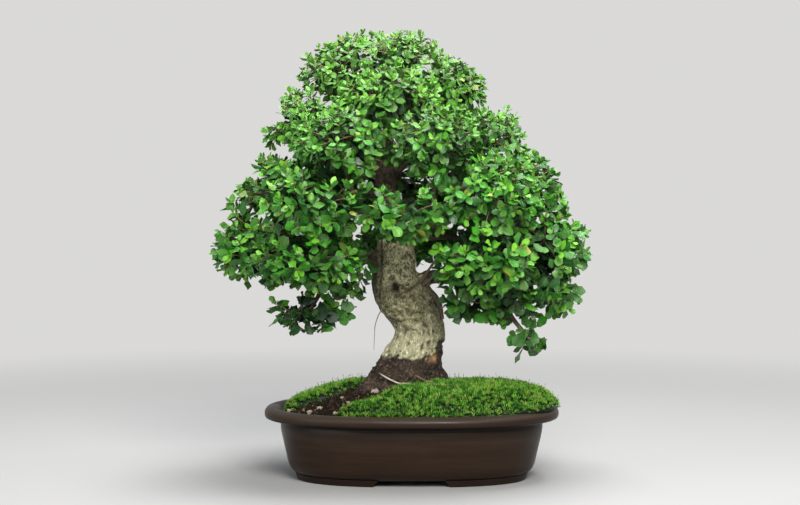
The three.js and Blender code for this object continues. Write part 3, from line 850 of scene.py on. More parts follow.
def mossStalks(x, y, z):
    # thin spore stalks with a swollen dark tip, a path of five points each
    picked = dice.choice(len(x), moss["stalks"], replace=False)
    foot = np.stack([x, y, z], -1)[picked]
    lean = dice.normal(0, 0.22, (len(foot), 3)) * [1, 1, 0] + [0, 0, 1]
    tall = dice.uniform(*moss["stalkHeight"], (len(foot), 1, 1))
    share = np.array([0, 0.45, 0.84, 0.92, 1.0])[None, :, None]
    paths = foot[:, None] + lean[:, None] * share * tall
    radii = np.tile(np.array([0.22, 0.16, 0.16, 0.5, 0.16]) * mm, (len(foot), 1))
    return tubes(paths, radii, 4)


# Wood: trunk, roots, limbs and branches

wood = {
    # middle line with half widths across and front to back, from the buried foot to the tip
    "trunk": np.array([
        (11, 2, 96, 50, 44), (10, 0, 112, 58, 49), (11, 0, 136, 57, 48), (16, 0, 158, 50, 44),
        (17, -2, 173, 45, 41), (24, -3, 197, 40, 38), (28, -4, 222, 37, 36), (22, -3, 240, 38, 37),
        (7, 0, 267, 41, 39), (-5, 2, 284, 40, 37), (-12, 3, 308, 34, 33), (-9, 2, 338, 30, 30),
        (-10, 0, 371, 26, 26), (-16, -2, 401, 21, 21), (-25, 0, 450, 16, 16), (-22, 0, 506, 10, 10),
        (-14, 0, 560, 6, 6), (-20, 0, 600, 3.4, 3.4),
    ]) * mm,
    # where each root goes under the soil, its thickness at the trunk, and the height where they start
    "roots": np.array([
        (-92, -34, 104, 20), (-48, -80, 108, 15), (72, -66, 108, 16), (108, 18, 104, 18),
        (42, 80, 106, 16), (-70, 56, 106, 17), (8, -76, 112, 10), (-82, 6, 108, 11), (92, -30, 108, 10),
    ]) * mm,
    "rootStart": 0.146,
    # height on the trunk, elbow, thickness, and the leaf masses it carries
    "limbs": [
        (
            286, (86, -20, 308), 13,
            "low_front_right low_right skirt_right skirt_front_right hanging_right",
        ),
        (322, (-92, -18, 330), 12, "low_left low_front_left low_back_left hanging_left"),
        (340, (6, 82, 352), 10, "middle_back_right low_back_right low_back"),
        (362, (48, -66, 384), 9, "upper_front_right middle_front middle_front_right"),
        (384, (-66, -64, 398), 9, "upper_front_left middle_front_left"),
        (402, (66, 12, 434), 9, "upper_right middle_right"),
        (418, (-92, 10, 442), 8, "upper_left middle_left middle_back_left"),
        (436, (-6, 70, 456), 8, "upper_back_right upper_back_left middle_back"),
        (500, (-20, -8, 532), 7, "apex crown_left crown_right crown_front crown_back"),
    ],
    # roots that show above the moss: middle line and radius
    "flares": [
        [(36, -8, 180, 11), (54, -11, 158, 9.5), (76, -13, 139, 8), (104, -15, 120, 6)],
        [(-6, -6, 192, 17), (-20, -10, 170, 17.5), (-36, -16, 152, 15), (-56, -24, 134, 12),
         (-78, -30, 116, 9)],
        [(-2, -20, 166, 14), (-8, -30, 150, 11), (-15, -41, 134, 9), (-22, -52, 118, 7)],
    ],
    "voxel": 2.0 * mm,
    "knot": np.array([-9.7, -38, 289]) * mm,
    "knotSize": np.array([8.5, 13, 9.5]) * mm,
    # the bark is dark and damp below this line of x and height, with an orange patch
    "wetLine": np.array([(-22, 186), (12, 181), (38, 183), (49, 189), (58, 208)]) * mm,
    "rust": np.array([49, -35, 183]) * mm,
    "rustReach": 7 * mm,
    # x and height along each groove in the front, half its width and its depth
    "grooves": [
        ([(-33, 352), (-31, 320), (-33, 296), (-36, 272)], 2.8, 3.6),
        ([(27, 296), (10, 284), (-7, 277)], 2.6, 3.2),
        ([(14, 250), (24, 251), (34, 251)], 1.7, 1.6),
        ([(8, 226), (15, 226), (21, 225)], 1.7, 1.6),
        ([(-14, 240), (-4, 236), (4, 240)], 1.7, 1.4),
    ],
    # bare roots over the foot of the trunk and the moss, with their radius
    "bareRoots": [
        [(-34, -34, 161, 1.1), (-21, -46, 154.5, 1.2), (-6, -54, 148, 1.05), (10, -57, 147, 0.85),
         (27, -58, 146.7, 0.8), (62, -55, 146.3, 0.75), (90, -48, 141.5, 0.65), (108, -42, 128, 0.6)],
        [(20, -42, 158, 0.7), (31, -49, 153.5, 0.65), (43, -53, 150, 0.6), (56, -55, 146, 0.5)],
    ],
    # a thin twig that hangs on the left, stems from the fork on the right and a stub under them
    "stems": [
        [(-24, -30, 262, 0.9), (-31, -36, 252, 0.8), (-38, -38, 237, 0.65), (-40, -39, 218, 0.5),
         (-41, -40, 196, 0.35)],
        [(22, -16, 286, 3.2), (34, -24, 304, 2.4), (46, -30, 322, 2.0), (62, -34, 342, 1.6)],
        [(24, -18, 284, 3.2), (42, -26, 300, 2.6), (60, -32, 316, 2.2), (84, -38, 330, 1.8)],
        [(34, -10, 287, 5.5), (49, -15, 273, 5.0), (58, -17, 257, 3.6), (61, -19, 240, 2.2)],
        [(-62, -52, 330, 1.3), (-63, -54, 316, 1.1), (-62, -55, 300, 0.9), (-64, -56, 286, 0.8)],
    ],
}


def paintBark(wire):
    crackAndShade, damp, knot, lump, woodShade = map(wire.number, ("crackAndShade", "damp", "knot", "lump", "woodShade"))
    height = wire.along("Z")
    low = height.step(0.255, 0.20)
    patchy = wire.noise(70.0, 4.0, 0.6)
    dots = wire.cells(430.0, (1, 1, 0.7)).step(0.42, 0.15)
    mottle = wire.noise(330.0, 4.0, 0.68, (1, 1, 0.8), 0.5)
    # painted light: the bark from 0.27 m up is made much lighter, to make up for the shade the crown casts
    # on it
    upper = patchy.mix((0.33, 0.31, 0.165), (0.58, 0.555, 0.325)).coats((lump, (0.76, 0.73, 0.47)))
    earthy = wire.noise(70.0, 4.0, 0.65).step(0.3, 0.7)
    dark = earthy.mix((0.005, 0.0035, 0.0025), (0.046, 0.030, 0.020)).coats(
        (wire.noise(150.0, 4.0, 0.65).step(0.54, 0.66) * 0.6, (0.14, 0.10, 0.066)),
        (mottle.step(0.55, 0.68) * 0.7, (0.17, 0.13, 0.09)),
        (wire.number("rust") * 0.85, (0.36, 0.20, 0.085)),
    )
    bark = patchy.mix((0.115, 0.109, 0.057), (0.21, 0.20, 0.113)).coats(
        (lump, (0.35, 0.34, 0.205)),
        (height.step(0.27, 0.305), upper),
        (dots * 0.4, (0.10, 0.078, 0.042)),
        (wire.noise(20.0, 3.0).step(0.5, 0.7) * 0.4, (0.20, 0.195, 0.095)),
        (mottle.step(0.52, 0.40) * 0.85, (0.07, 0.064, 0.034)),
        (low * 0.5, (0.44, 0.425, 0.265)),
        (mottle.step(0.56, 0.64) * (low * 0.5 + 0.4), (0.66, 0.64, 0.44)),
        # painted shade of the crown on the upper trunk
        (height.step(0.35, 0.39) * 0.88, (0.06, 0.045, 0.032)),
        # painted shade on the wood left of the first groove and on the limbs
        (woodShade * 0.85, (0.05, 0.043, 0.032)),
        # dark pits and grooves: the bark's own dark fissures and painted shade in the recesses
        (crackAndShade * 0.92, (0.035, 0.024, 0.015)),
        (damp, dark),
        # painted shade inside the knot's hollow
        (knot, (0.012, 0.008, 0.006)),
    )
    return {
        "Base Color": bark,
        "Roughness": damp * -0.25 + 0.88,
        "Normal": wire.bump(mottle * 1.6 + dots * -0.5, 1.8 * mm),
        "Specular IOR Level": 0.2,
    }


def trunkAt(height):
    # the middle line's points at some heights
    line = wood["trunk"]
    return np.stack([np.interp(height, line[:, 2], line[:, k]) for k in range(3)], -1)


def bent(start, end, rise, count):
    # quadratic curve, its middle raised by a share of its length: (1-t)^2 A + 2t(1-t) M + t^2 B
    start, end = np.atleast_2d(start), np.atleast_2d(end)
    middle = start + (end - start) * 0.45
    middle = middle + np.array([0, 0, 1.0]) * (rise * np.linalg.norm(end - start, axis=1))[:, None]
    t = np.linspace(0, 1, count)[None, :, None]
    return (1 - t) ** 2 * start[:, None] + 2 * t * (1 - t) * middle[:, None] + t**2 * end[:, None]


def wander(paths, size, height, seed):
    # bends paths a little by smooth noise, none at their start
    growth = np.linspace(0, 1, paths.shape[1])[:, None] ** 0.5
    return paths + noiseVectors(paths, size, seed) * height * growth


def trunkTube():
    # rings around the middle line: centre + side * width * cos a + front * depth * sin a
    line = smoothPath(wood["trunk"], 110)
    turn = circle(48)[:, None]
    along = unit(np.gradient(line[:, :3], axis=0))
    side = unit(np.cross([0, 1.0, 0], along))
    front = np.cross(along, side)
    points = line[:, None, :3] + side[:, None] * line[:, None, 3:4] * np.cos(turn)
    points = points + front[:, None] * line[:, None, 4:] * np.sin(turn)
    ends = line[[0, -1], :3]
    return np.concatenate([points.reshape(-1, 3), ends]), tubeFaces(len(line), len(turn))


def rootTubes():
    # roots from near the trunk's middle line outwards: thickness * (1 - share)^0.7 + 5 mm
    to, thick = wood["roots"][:, :3], wood["roots"][:, 3]
    start = trunkAt(np.full(len(to), wood["rootStart"])) * 0.82 + to * 0.18
    start[:, 2] = wood["rootStart"]
    paths = wander(bent(start, to - [0, 0, 0.004], 0.05, 14), 34 * mm, 6 * mm, 21)
    return tubes(paths, thick[:, None] * (1 - np.linspace(0, 1, 14)) ** 0.7 + 5 * mm, 14)


def limbTubes():
    # root flares at the trunk's foot, and limbs that taper from the trunk to their elbows
    blocks = []
    for knots in wood["flares"]:
        line = smoothPath(np.array(knots) * mm, 16)[None]
        blocks.append(tubes(line[..., :3], line[..., 3], 14))
    for height, elbow, thick, _ in wood["limbs"]:
        start = trunkAt(height * mm)
        paths = wander(bent(start, np.array(elbow) * mm, 0.07, 12), 40 * mm, 5 * mm, height)
        blocks.append(tubes(paths, (thick * np.linspace(1.05, 0.62, 12) * mm)[None], 12))
    return stacked(blocks)


def smoothed(points, edges, rounds):
    # moves each point half way to the middle of its neighbours, some rounds
    count = np.bincount(edges.ravel(), minlength=len(points))[:, None]
    for _ in range(rounds):
        total = np.zeros_like(points)
        for k in range(3):
            for one, other in (edges.T, edges.T[::-1]):
                total[:, k] += np.bincount(one, points[other, k], len(points))
        points = points * 0.5 + 0.5 * total / np.maximum(count, 1)
    return points


def grooveShare(points, line, width):
    # e^-(distance / width)^2 from a line in the front view, on the trunk's front
    far = np.linalg.norm(points[:, None, [0, 2]] - smoothPath(line, 30), axis=2).min(1)
    return bell(far / width) * (points[:, 1] < -4 * mm)


def barkRelief(points):
    # Height over the smooth wood: broad lumps, small lumps with pits between them, grooves and the knot.
    # The patterns are laid in the trunk's own space: sideways from the middle line, and along it.
    line = smoothPath(wood["trunk"], 220)
    far = np.linalg.norm(points[:, None] - line[:, :3], axis=2)
    nearest, close = far.argmin(1), far.min(1)
    length = np.concatenate([[0], np.cumsum(np.linalg.norm(np.diff(line[:, :3], axis=0), axis=1))])
    space = points - line[nearest, :3]
    space[:, 2] = (length[nearest] + space[:, 2]) * 0.85
    size = np.clip(close / (36 * mm), 0.3, 1)

    jagged = noise(points, 22 * mm, 40) * 5 * mm + noise(points, 7 * mm, 41) * 5 * mm
    above = points[:, 2] - np.interp(points[:, 0], *wood["wetLine"].T) - jagged
    patches = ease(0.25, 0.55, noise(points, 8 * mm, 43)) * ease(16 * mm, 5 * mm, above) * 0.8
    damp = np.maximum(1 - ease(-1.5 * mm, 1.5 * mm, above), patches)
    coarse = layered(space, 14 * mm, 2, 16)
    fine, finer = noise(space, 6.5 * mm, 5), noise(space, 3.6 * mm, 9)
    pits = ease(0.14, 0.60, -0.75 * fine - 0.6 * finer - 0.15 * coarse)
    lump = ease(0.0, 0.7, 0.5 * coarse + 0.6 * fine + 0.25 * finer)
    ridges = layered(space * [1, 1, 0.55], 9 * mm, 2, 30)
    broad = layered(space, 42 * mm, 2, 12) * 2.6 * mm
    dry = coarse * 0.9 * mm + fine * 0.7 * mm - pits * 2.0 * mm
    wet = ridges * 2.6 * mm + finer * 1.3 * mm - pits * 1.6 * mm - 1.5 * mm
    height = broad * size + (dry * (1 - damp) + wet * damp) * size

    # the pits and grooves get a dark colour: the bark's own fissures and painted shade
    crackAndShade = pits * 0.9
    for path, width, depth in wood["grooves"]:
        share = grooveShare(points, np.array(path) * mm, width * mm)
        height = height - share * (depth * mm)
        crackAndShade = np.maximum(crackAndShade, share * 0.85)
    far = np.linalg.norm((points - wood["knot"]) / wood["knotSize"], axis=1)
    far = far * (1 + 0.35 * noise(points, 8 * mm, 45))
    hole = np.exp(-1.2 * far**2)
    height = height - hole * 8 * mm + bell((far - 1.45) / 0.4) * 1.4 * mm

    # painted shade lies on the wood left of the first groove and where a limb leaves the trunk
    x, z = np.array(wood["grooves"][0][0][::-1]).T * mm
    left = np.interp(points[:, 2], z, x) - points[:, 0]
    woodShade = ease(0, 6 * mm, left) * ease(0.250, 0.275, points[:, 2]) * ease(0.40, 0.35, points[:, 2])
    woodShade = np.maximum(woodShade, ease(2 * mm, 8 * mm, close - line[nearest, 3]) * (1 - damp))
    rust = bell(np.linalg.norm(points - wood["rust"], axis=1) / wood["rustReach"]) * (0.9 + 0.8 * ridges)
    return height, {
        "crackAndShade": crackAndShade * (1 - damp),
        "damp": damp,
        "knot": np.clip(hole * 1.6, 0, 1),
        "lump": lump,
        "woodShade": woodShade,
        "rust": np.clip(rust, 0, 1),
    }


def makeTrunk():
    mesh = makeMesh("trunk", *stacked([trunkTube(), rootTubes(), limbTubes()]))
    piece = addPiece("trunk", mesh, material("corkBark", paintBark), "trunk_and_branches")
    merge = piece.modifiers.new("merge", "REMESH")
    merge.mode = "VOXEL"
    merge.voxel_size = wood["voxel"]
    settle(piece)
    mesh = piece.data
    points = smoothed(meshPoints(mesh), meshEdges(mesh), 5)
    store(mesh.vertices, "co", points)
    mesh.update()
    height, numbers = barkRelief(points)
    normals = fetch(mesh.vertex_normals, "vector", 3).astype(float)
    store(mesh.vertices, "co", points + normals * height[:, None])
    mesh.update()
    storeNumbers(mesh, numbers)
    mesh.shade_smooth()
    print("trunk:", len(mesh.polygons), "faces")


def paintTwig(wire):
    tone = wire.noise(60.0, 3.0).mix((0.055, 0.038, 0.024), (0.15, 0.115, 0.075))
    tone = tone.coats((wire.number("young"), (0.20, 0.11, 0.045)))
    return {"Base Color": tone, "Roughness": 0.8, "Normal": wire.bump(wire.noise(500.0, 3.0), 0.5 * mm)}


def paintBareRoot(wire):
    tone = wire.noise(120.0, 4.0).mix((0.26, 0.21, 0.16), (0.50, 0.45, 0.38))
    tone = tone.coats((wire.number("thin"), (0.19, 0.125, 0.075)))
    return {"Base Color": tone, "Roughness": 0.85, "Normal": wire.bump(wire.noise(420.0, 4.0), 0.6 * mm)}


def alongPaths(knots, count, seed, sides):
    # A tube along each list of knots, bent a little by noise. The third result is the radius at each point.
    lines = np.stack([smoothPath(np.array(each) * mm, count) for each in knots])
    paths, radii = lines[..., :3], lines[..., 3]
    shift = noiseVectors(paths, 9 * mm, seed)
    radii = radii * (1 + 0.15 * noise(paths, 6 * mm, seed + 4))
    radii = radii * np.sqrt(np.clip(np.linspace(0.05, 12, count), 0, 1))
    thick = np.concatenate([np.repeat(radii, sides, axis=1), radii[:, :1], radii[:, -1:]], axis=1)
    return *tubes(paths + shift * np.minimum(radii, 1 * mm)[..., None] * 0.8, radii, sides), thick.ravel()


def makeBareRoots():
    points, faces, thick = alongPaths(wood["bareRoots"], 90, 60, 10)
    mesh = makeMesh("bareRoots", points, faces, {"thin": ease(1.0 * mm, 0.7 * mm, thick)})
    addPiece("bare_roots", mesh, material("bareWood", paintBareRoot), "trunk_and_branches")
    points, faces, thick = alongPaths(wood["stems"], 40, 70, 8)
    mesh = makeMesh("stems", points, faces, {"young": 0 * thick})
    addPiece("small_stems", mesh, twigLook, "trunk_and_branches")


# Crown: shoots with rosettes of leaves

leafShape = {
    # rows from the stalk on: share of the leaf's length, and half width as a share of the length
    "full": ((0.0, 0.016), (0.12, 0.045), (0.28, 0.215), (0.50, 0.305), (0.73, 0.31), (0.91, 0.195)),
    "plain": ((0.0, 0.018), (0.2, 0.15), (0.5, 0.30), (0.81, 0.225)),
    "slim": ((0.0, 0.02), (0.45, 0.30), (0.82, 0.26)),
    "widest": 0.31,  # the largest of these half widths
    "thick": 0.45 * mm,
}
crown = {
    "leafLow": (23 * mm, 0.27),  # leaf length, at this height and below
    "leafHigh": (14 * mm, 0.62),
    "fullBelow": 0.40,  # leaves under this height have the finest shape
    "toothed": (0.46, 0.34),  # the leaves get their small spines between these heights
    "spotGap": 5 * mm,  # between the places that are tried for shoots
    "spacing": 1.17,  # between shoots, in leaf lengths
    # from outside in: depth under the surface, wider spacing, leaves on a shoot, larger leaves, darkness:
    # random tone outside, painted shade inside
    "layers": (
        (8 * mm, 1.0, 9, 1.0, (0.0, 0.6)),
        (29 * mm, 1.32, 8, 1.2, (0.72, 0.94)),
        (55 * mm, 1.65, 8, 1.45, (0.9, 1.0)),
    ),
    "outerDepth": 20 * mm,  # a layer less deep than this is the outer one
    # wider spacing on these leaf masses
    "sparse": {"hanging_left": 1.3, "hanging_right": 1.15, "skirt_front_right": 1.2, "skirt_right": 1.1},
    # where two leaf masses meet, shoots stand further out: within this distance, and by how much
    "valley": (16 * mm, 11 * mm),
    # gaps in the outer layer: size of the noise, its limit, and how much that rises between two heights
    "gaps": (30 * mm, 0.44, 0.5, (0.46, 0.56)),
    "heart": (-20 * mm, 0.41, 80 * mm, 0.22),  # x, height, radius and extra shade of the crown's middle
    "lowShade": (0.32, (0.35, 0.28)),  # extra shade of the lowest leaves, and the heights it grows between
    # x, height and radius of the dark hollows at the front
    "hollows": np.array([
        (-74, 518, 14), (-52, 490, 21), (-8, 456, 23), (16, 424, 22), (-86, 436, 17), (-72, 405, 18),
        (14, 571, 14), (78, 374, 16), (-58, 380, 18), (-112, 463, 17), (76, 425, 15), (140, 428, 14),
        (196, 358, 14), (97, 327, 13), (-102, 348, 15), (-70, 330, 18), (-137, 367, 13), (-193, 386, 13),
        (-207, 327, 13), (112, 470, 14), (46, 498, 14), (-120, 410, 12), (165, 385, 13), (222, 335, 12),
    ]) * mm,
    # x, height and radius of places at the outline that no leaf reaches
    "air": np.array([(-214, 553, 33), (-241, 468, 27), (-214, 297, 13), (263, 453, 30)]) * mm,
    # single shoots at the outline and under the crown
    "sprigs": np.array([
        (-58, -52, 308), (-70, -50, 286), (-92, -56, 312), (-108, -62, 300), (-118, -60, 318),
        (-134, -58, 306), (-132, -60, 284), (-112, -58, 278), (-96, -56, 290), (-84, -54, 272),
        (-246, -12, 304), (-244, -14, 406), (-248, -40, 398), (-253, -10, 414), (-208, -12, 482),
        (-80, -10, 662), (-58, 6, 666), (60, -6, 637), (158, -10, 552), (168, -16, 543),
        (245, -10, 404), (272, -6, 366), (240, -20, 292), (240, -16, 276), (84, -50, 252),
        (148, -60, 240), (143, -62, 258),
    ]) * mm,
    # a way through beside the trunk: x and height of its line at y = 0, half its width and height, and how
    # much lower it gets towards the back
    "window": (35 * mm, 310 * mm, 14 * mm, 20 * mm),
    "windowFall": 0.0675,
    "boughs": 7,  # at most so many in a leaf mass
}


def leafTemplate(rows):
    # Each row has its left edge, the midrib above, its right edge and the midrib below; the last point is
    # the tip. The two sides meet along the rim.
    along, half = np.array(rows).T
    count = len(along)
    quads = copies(np.array([[0, 1, 5, 4], [1, 2, 6, 5], [3, 0, 4, 7], [2, 3, 7, 6]]), count - 1, 4)
    s, tip = 4 * (count - 1), 4 * count
    return {
        "u": np.append(np.repeat(along, 4), 1.0),
        "v": np.append(np.tile([-1.0, 0, 1, 0], count), 0),
        "half": np.append(np.repeat(half, 4), 0),
        "lift": np.append(np.tile([0, 0.5, 0, -0.5], count), 0),
        "rim": np.append(np.tile([True, False, True, False], count), True),
        "tooth": np.append(np.repeat(np.where(np.arange(count) % 2 == 0, 1.0, -1.0), 4), 0),
        "quads": np.vstack([quads, [[0, 3, 2, 1]]]),
        "tris": np.array([[s, s + 1, tip], [s + 1, s + 2, tip], [s + 3, s, tip], [s + 2, s + 3, tip]]),
        "under": [np.append(np.tile([0, 0, 1, 1], count - 1), 1), np.array([0, 0, 1, 1])],
    }


templates = {kind: leafTemplate(leafShape[kind]) for kind in ("full", "plain", "slim")}


def leafPoints(shape, leaf):
    # base + length * (u * way + (v half + sway u^2) * side + ((fold + ripple) |v| half - droop u^2) * up)
    # + thickness * up
    names = ("length", "broad", "spiny", "phase", "wavy", "fold", "droop", "sway")
    length, broad, spiny, phase, wavy, fold, droop, sway = [leaf[name][:, None] for name in names]
    u, v = shape["u"], shape["v"]
    half = shape["half"] * broad * (1 + spiny * shape["tooth"] * (u > 0.2))
    ripple = np.sin(phase + 9 * u + 1.6 * v) * wavy
    lift = np.abs(v) * half * (fold + ripple) - droop * u**2
    way = (u * length)[..., None] * leaf["way"][:, None]
    side = ((v * half + sway * u**2) * length)[..., None] * leaf["side"][:, None]
    thick = shape["lift"] * (shape["half"] > 0.1) * leafShape["thick"]
    return leaf["base"][:, None] + way + side + (lift * length + thick)[..., None] * leaf["up"][:, None]


def leafMaps(shape, first, count, side):
    # For the quads and for the triangles: across the leaf and along it, plus 1 on the underside; and a cell
    # of a side * side grid for each leaf, its upper side in the left half and its underside in the right.
    across = 0.5 + 0.5 * shape["v"] * shape["half"] / leafShape["widest"]
    order = first + np.arange(count)
    cell = np.stack([order % side, order // side], -1)[:, None]
    maps = []
    for faces, under in zip((shape["quads"], shape["tris"]), shape["under"]):
        corner, below = faces.ravel(), np.repeat(under, faces.shape[1])
        pattern = np.stack([across[corner], shape["u"][corner] + below], -1)
        inside = np.stack([0.04 + 0.42 * across[corner] + 0.5 * below, 0.04 + 0.92 * shape["u"][corner]], -1)
        maps.append((np.tile(pattern, (count, 1)), ((cell + inside) / side).reshape(-1, 2)))
    return maps


def leafMesh(name, groups):
    # one mesh from the leaves of each template; the rim's edges stay crisp
    blocks, numbers, maps, rims = [], [], [], []
    first = 0
    side = math.ceil(math.sqrt(sum(len(leaf["length"]) for _, leaf in groups)))
    for kind, leaf in groups:
        shape, points = templates[kind], leafPoints(templates[kind], leaf)
        count, size = points.shape[:2]
        faces = [copies(shape[part], count, size) for part in ("quads", "tris")]
        blocks.append((points.reshape(-1, 3), faces))
        numbers.append(np.repeat(np.stack([leaf["age"], leaf["tint"], leaf["dark"]]), size, axis=1))
        maps.append(leafMaps(shape, first, count, side))
        rims.append(np.tile(shape["rim"], count))
        first += count
    values = dict(zip(("leafAge", "leafTint", "leafDark"), np.concatenate(numbers, axis=1)))
    pairs = {
        key: np.concatenate([each[face][k] for face in range(2) for each in maps])
        for k, key in enumerate(("leafUv", "OFBake"))
    }
    mesh = makeMesh(name, *stacked(blocks), values, pairs)
    crisp = np.concatenate(rims)[meshEdges(mesh)].all(1)
    mesh.attributes.new("sharp_edge", "BOOLEAN", "EDGE").data.foreach_set("value", crisp)
    return mesh


def leafLength(height):
    # long leaves low down, short ones at the top
    (low, lowHeight), (high, highHeight) = crown["leafLow"], crown["leafHigh"]
    return between(low, high, ease(lowHeight, highHeight, height))


def nodeTriangles(name):
    # the corners of a node's triangles
    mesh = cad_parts[name].data
    mesh.calc_loop_triangles()
    return meshPoints(mesh)[fetch(mesh.loop_triangles, "vertices", 3, np.int32)]


def inCircles(points, circles, share=1.0):
    # whether each point lies in one of the circles of the front view, with that share of its radius
    x, height, radius = circles.T
    return (np.hypot(points[:, :1] - x, points[:, 2:] - height) < radius * share).any(1)


def wallOf(tri):
    # a search tree of triangles
    corners = np.arange(len(tri) * 3).reshape(-1, 3)
    return BVHTree.FromPolygons(tri.reshape(-1, 3).tolist(), corners.tolist())


def freeSpots():
    # Random places on the leaf masses where no other mass lies close in front, with the outward direction.
    # Where another mass is near, that is the sum of both normals, the other times e^(-distance / reach).
    # The last results are how far a shoot there stands out, further * (sum of the normals) * the same
    # factor, and a function that names the mass nearest to a place.
    names = [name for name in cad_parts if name.startswith("leaves_")]
    faces = {name: nodeTriangles(name) for name in names}
    every = wallOf(np.concatenate(list(faces.values())))
    holder = np.repeat(names, [len(tri) for tri in faces.values()])
    reach, further = crown["valley"]
    rows = []
    for name, tri in faces.items():
        rest = wallOf(np.concatenate([faces[other] for other in names if other != name]))
        cross = np.cross(tri[:, 1] - tri[:, 0], tri[:, 2] - tri[:, 0])
        area = np.linalg.norm(cross, axis=1)
        count = int(area.sum() / 2 / crown["spotGap"] ** 2)
        pick = dice.choice(len(tri), count, p=area / area.sum())
        a, b = dice.random((2, count, 1))
        a, b = np.where(a + b > 1, 1 - a, a), np.where(a + b > 1, 1 - b, b)
        spots = tri[pick, 0] + a * (tri[pick, 1] - tri[pick, 0]) + b * (tri[pick, 2] - tri[pick, 0])
        for spot, way in zip(spots, unit(cross[pick])):
            if every.ray_cast(Vector(spot + way * 0.1 * mm), Vector(way), 5 * mm)[0] is not None:
                continue
            _, other, _, away = rest.find_nearest(Vector(spot))
            other, near = np.array(other), math.exp(-away / reach)
            rows.append((name, spot, way, way + other * near, (way + other) * near * further))
    owners, places, normals, facing, shift = [np.array(column) for column in zip(*rows)]
    spots = (owners, places, normals, unit(facing), shift)
    return spots, lambda place: holder[every.find_nearest(Vector(place))[2]]


def findShoots(spots, nearest, depth, wider):
    # Shoots under the free places at a depth, no two nearer than the leaves there allow. The outer ones
    # follow the shift, and the inner ones keep most of their depth from every free place.
    names, places, normals, facing, shift = spots
    outer = depth < crown["outerDepth"]
    order = dice.permutation(len(places))
    inward = depth + noise(places, 45 * mm, 80) * 6 * mm + dice.uniform(-3, 3, len(places)) * mm
    inner = places - normals * inward[:, None]
    gone = inCircles(places, crown["hollows"], 1.0 if outer else 0.6) & (places[:, 1] < 0)
    gone |= inCircles(places, crown["air"])
    if outer:
        inner = inner + shift
        size, limit, fewer, heights = crown["gaps"]
        gone |= noise(places, size, 81) > limit + fewer * ease(*heights, places[:, 2])
    else:
        free = KDTree(len(places))
        for k, place in enumerate(places):
            free.insert(place, k)
        free.balance()
    looser = np.array([crown["sparse"].get(name[7:], 1) for name in names])
    space = leafLength(inner[:, 2]) * crown["spacing"] * wider * looser
    owners, tips, outward = [], np.empty((0, 3)), []
    for k in order[~gone[order]]:
        if len(tips) and np.min(np.linalg.norm(tips - inner[k], axis=1)) < space[k]:
            continue
        if not outer and free.find(inner[k])[2] < 0.75 * depth:
            continue
        tips = np.vstack([tips, inner[k]])
        owners.append(names[k])
        outward.append(facing[k] if outer else normals[k])
    if outer:
        # single shoots point away from the trunk, and down below the crown's middle
        tips = np.vstack([tips, crown["sprigs"]])
        owners += [nearest(place) for place in crown["sprigs"]]
        outward += [unit((place - [0, 0, 0.40]) * [1, 1.5, 1.2]) for place in crown["sprigs"]]
    print("shoots at", round(depth / mm), "mm:", len(tips))
    return np.array(owners), tips, np.array(outward)


def growLeaves(tips, outward, number, larger, toneAndShade):
    # Rosettes: leaf j of a shoot sits j steps below its tip, turned by the golden angle from the one
    # before, and leans further from the shoot's axis the older it is. It faces the tip and the light.
    count = len(tips)
    each, total = (count, number), count * number
    up = np.array([0, 0, 1.0])
    under = ease(0.0, -0.6, outward[:, 2:])
    lean = outward * 0.85 + up * 0.45 * (1 - under) - up * 0.25 * under
    axis = unit(lean + dice.normal(0, 0.28, (count, 3)))
    size = leafLength(tips[:, 2]) * larger * dice.uniform(0.85, 1.15, count)
    first = unit(np.cross(axis, dice.normal(size=(count, 3))))
    second = np.cross(axis, first)
    j = np.arange(number)
    old = np.tile(j / (number - 1), (count, 1))
    turn = (dice.uniform(0, 6.28, (count, 1)) + golden * j + dice.normal(0, 0.2, each))[..., None]
    radial = first[:, None] * np.cos(turn) + second[:, None] * np.sin(turn)
    tilt = (0.45 + 0.95 * old + dice.normal(0, 0.26, each))[..., None]
    way = axis[:, None] * np.cos(tilt) + radial * np.sin(tilt)
    way = unit(way - up * (0.10 + 0.16 * under[:, None]) * old[..., None])
    face = axis[:, None] * np.sin(tilt) - radial * np.cos(tilt)
    face = face + up * 0.35 + outward[:, None] * 0.2 + dice.normal(0, 0.36, (*each, 3))
    face = unit(face - way * (face * way).sum(-1, keepdims=True))
    grown = 0.50 + 0.55 * np.minimum(1, old * 1.7)
    length = size[:, None] * grown * dice.uniform(0.85, 1.15, each)
    step = size[:, None] * 0.13 * (j + 0.4 * dice.random(each))
    base = tips[:, None] - axis[:, None] * step[..., None]
    toothed = np.repeat(ease(*crown["toothed"], tips[:, 2]), number)
    x, height, radius, most = crown["heart"]
    heart = np.exp(-(((tips[:, 0] - x) / radius) ** 2) - ((tips[:, 2] - height) / radius) ** 2)
    # random darker tone for the outer shoots; for the inner layers this is painted shade
    shade = between(*toneAndShade, dice.random(count) ** 2)
    low, heights = crown["lowShade"]
    shade += low * ease(*heights, tips[:, 2]) + most * heart
    return {
        "shoot": np.repeat(np.arange(count), number),
        "base": base.reshape(-1, 3),
        "way": way.reshape(-1, 3),
        "up": face.reshape(-1, 3),
        "side": np.cross(way, face).reshape(-1, 3),
        "length": length.reshape(-1),
        "broad": dice.uniform(0.85, 1.15, total),
        "fold": dice.normal(-0.12, 0.28, total),
        "droop": dice.uniform(-0.04, 0.26, total),
        "sway": dice.normal(0, 0.06, total),
        "wavy": dice.uniform(0.05, 0.45, total),
        "phase": dice.uniform(0, 6.28, total),
        "spiny": toothed * dice.uniform(0.05, 0.17, total),
        "age": np.clip(old.reshape(-1) * 0.75 + dice.normal(0.12, 0.13, total), 0, 1),
        "tint": dice.random(total),
        "dark": np.repeat(np.minimum(shade, 1), number),
    }


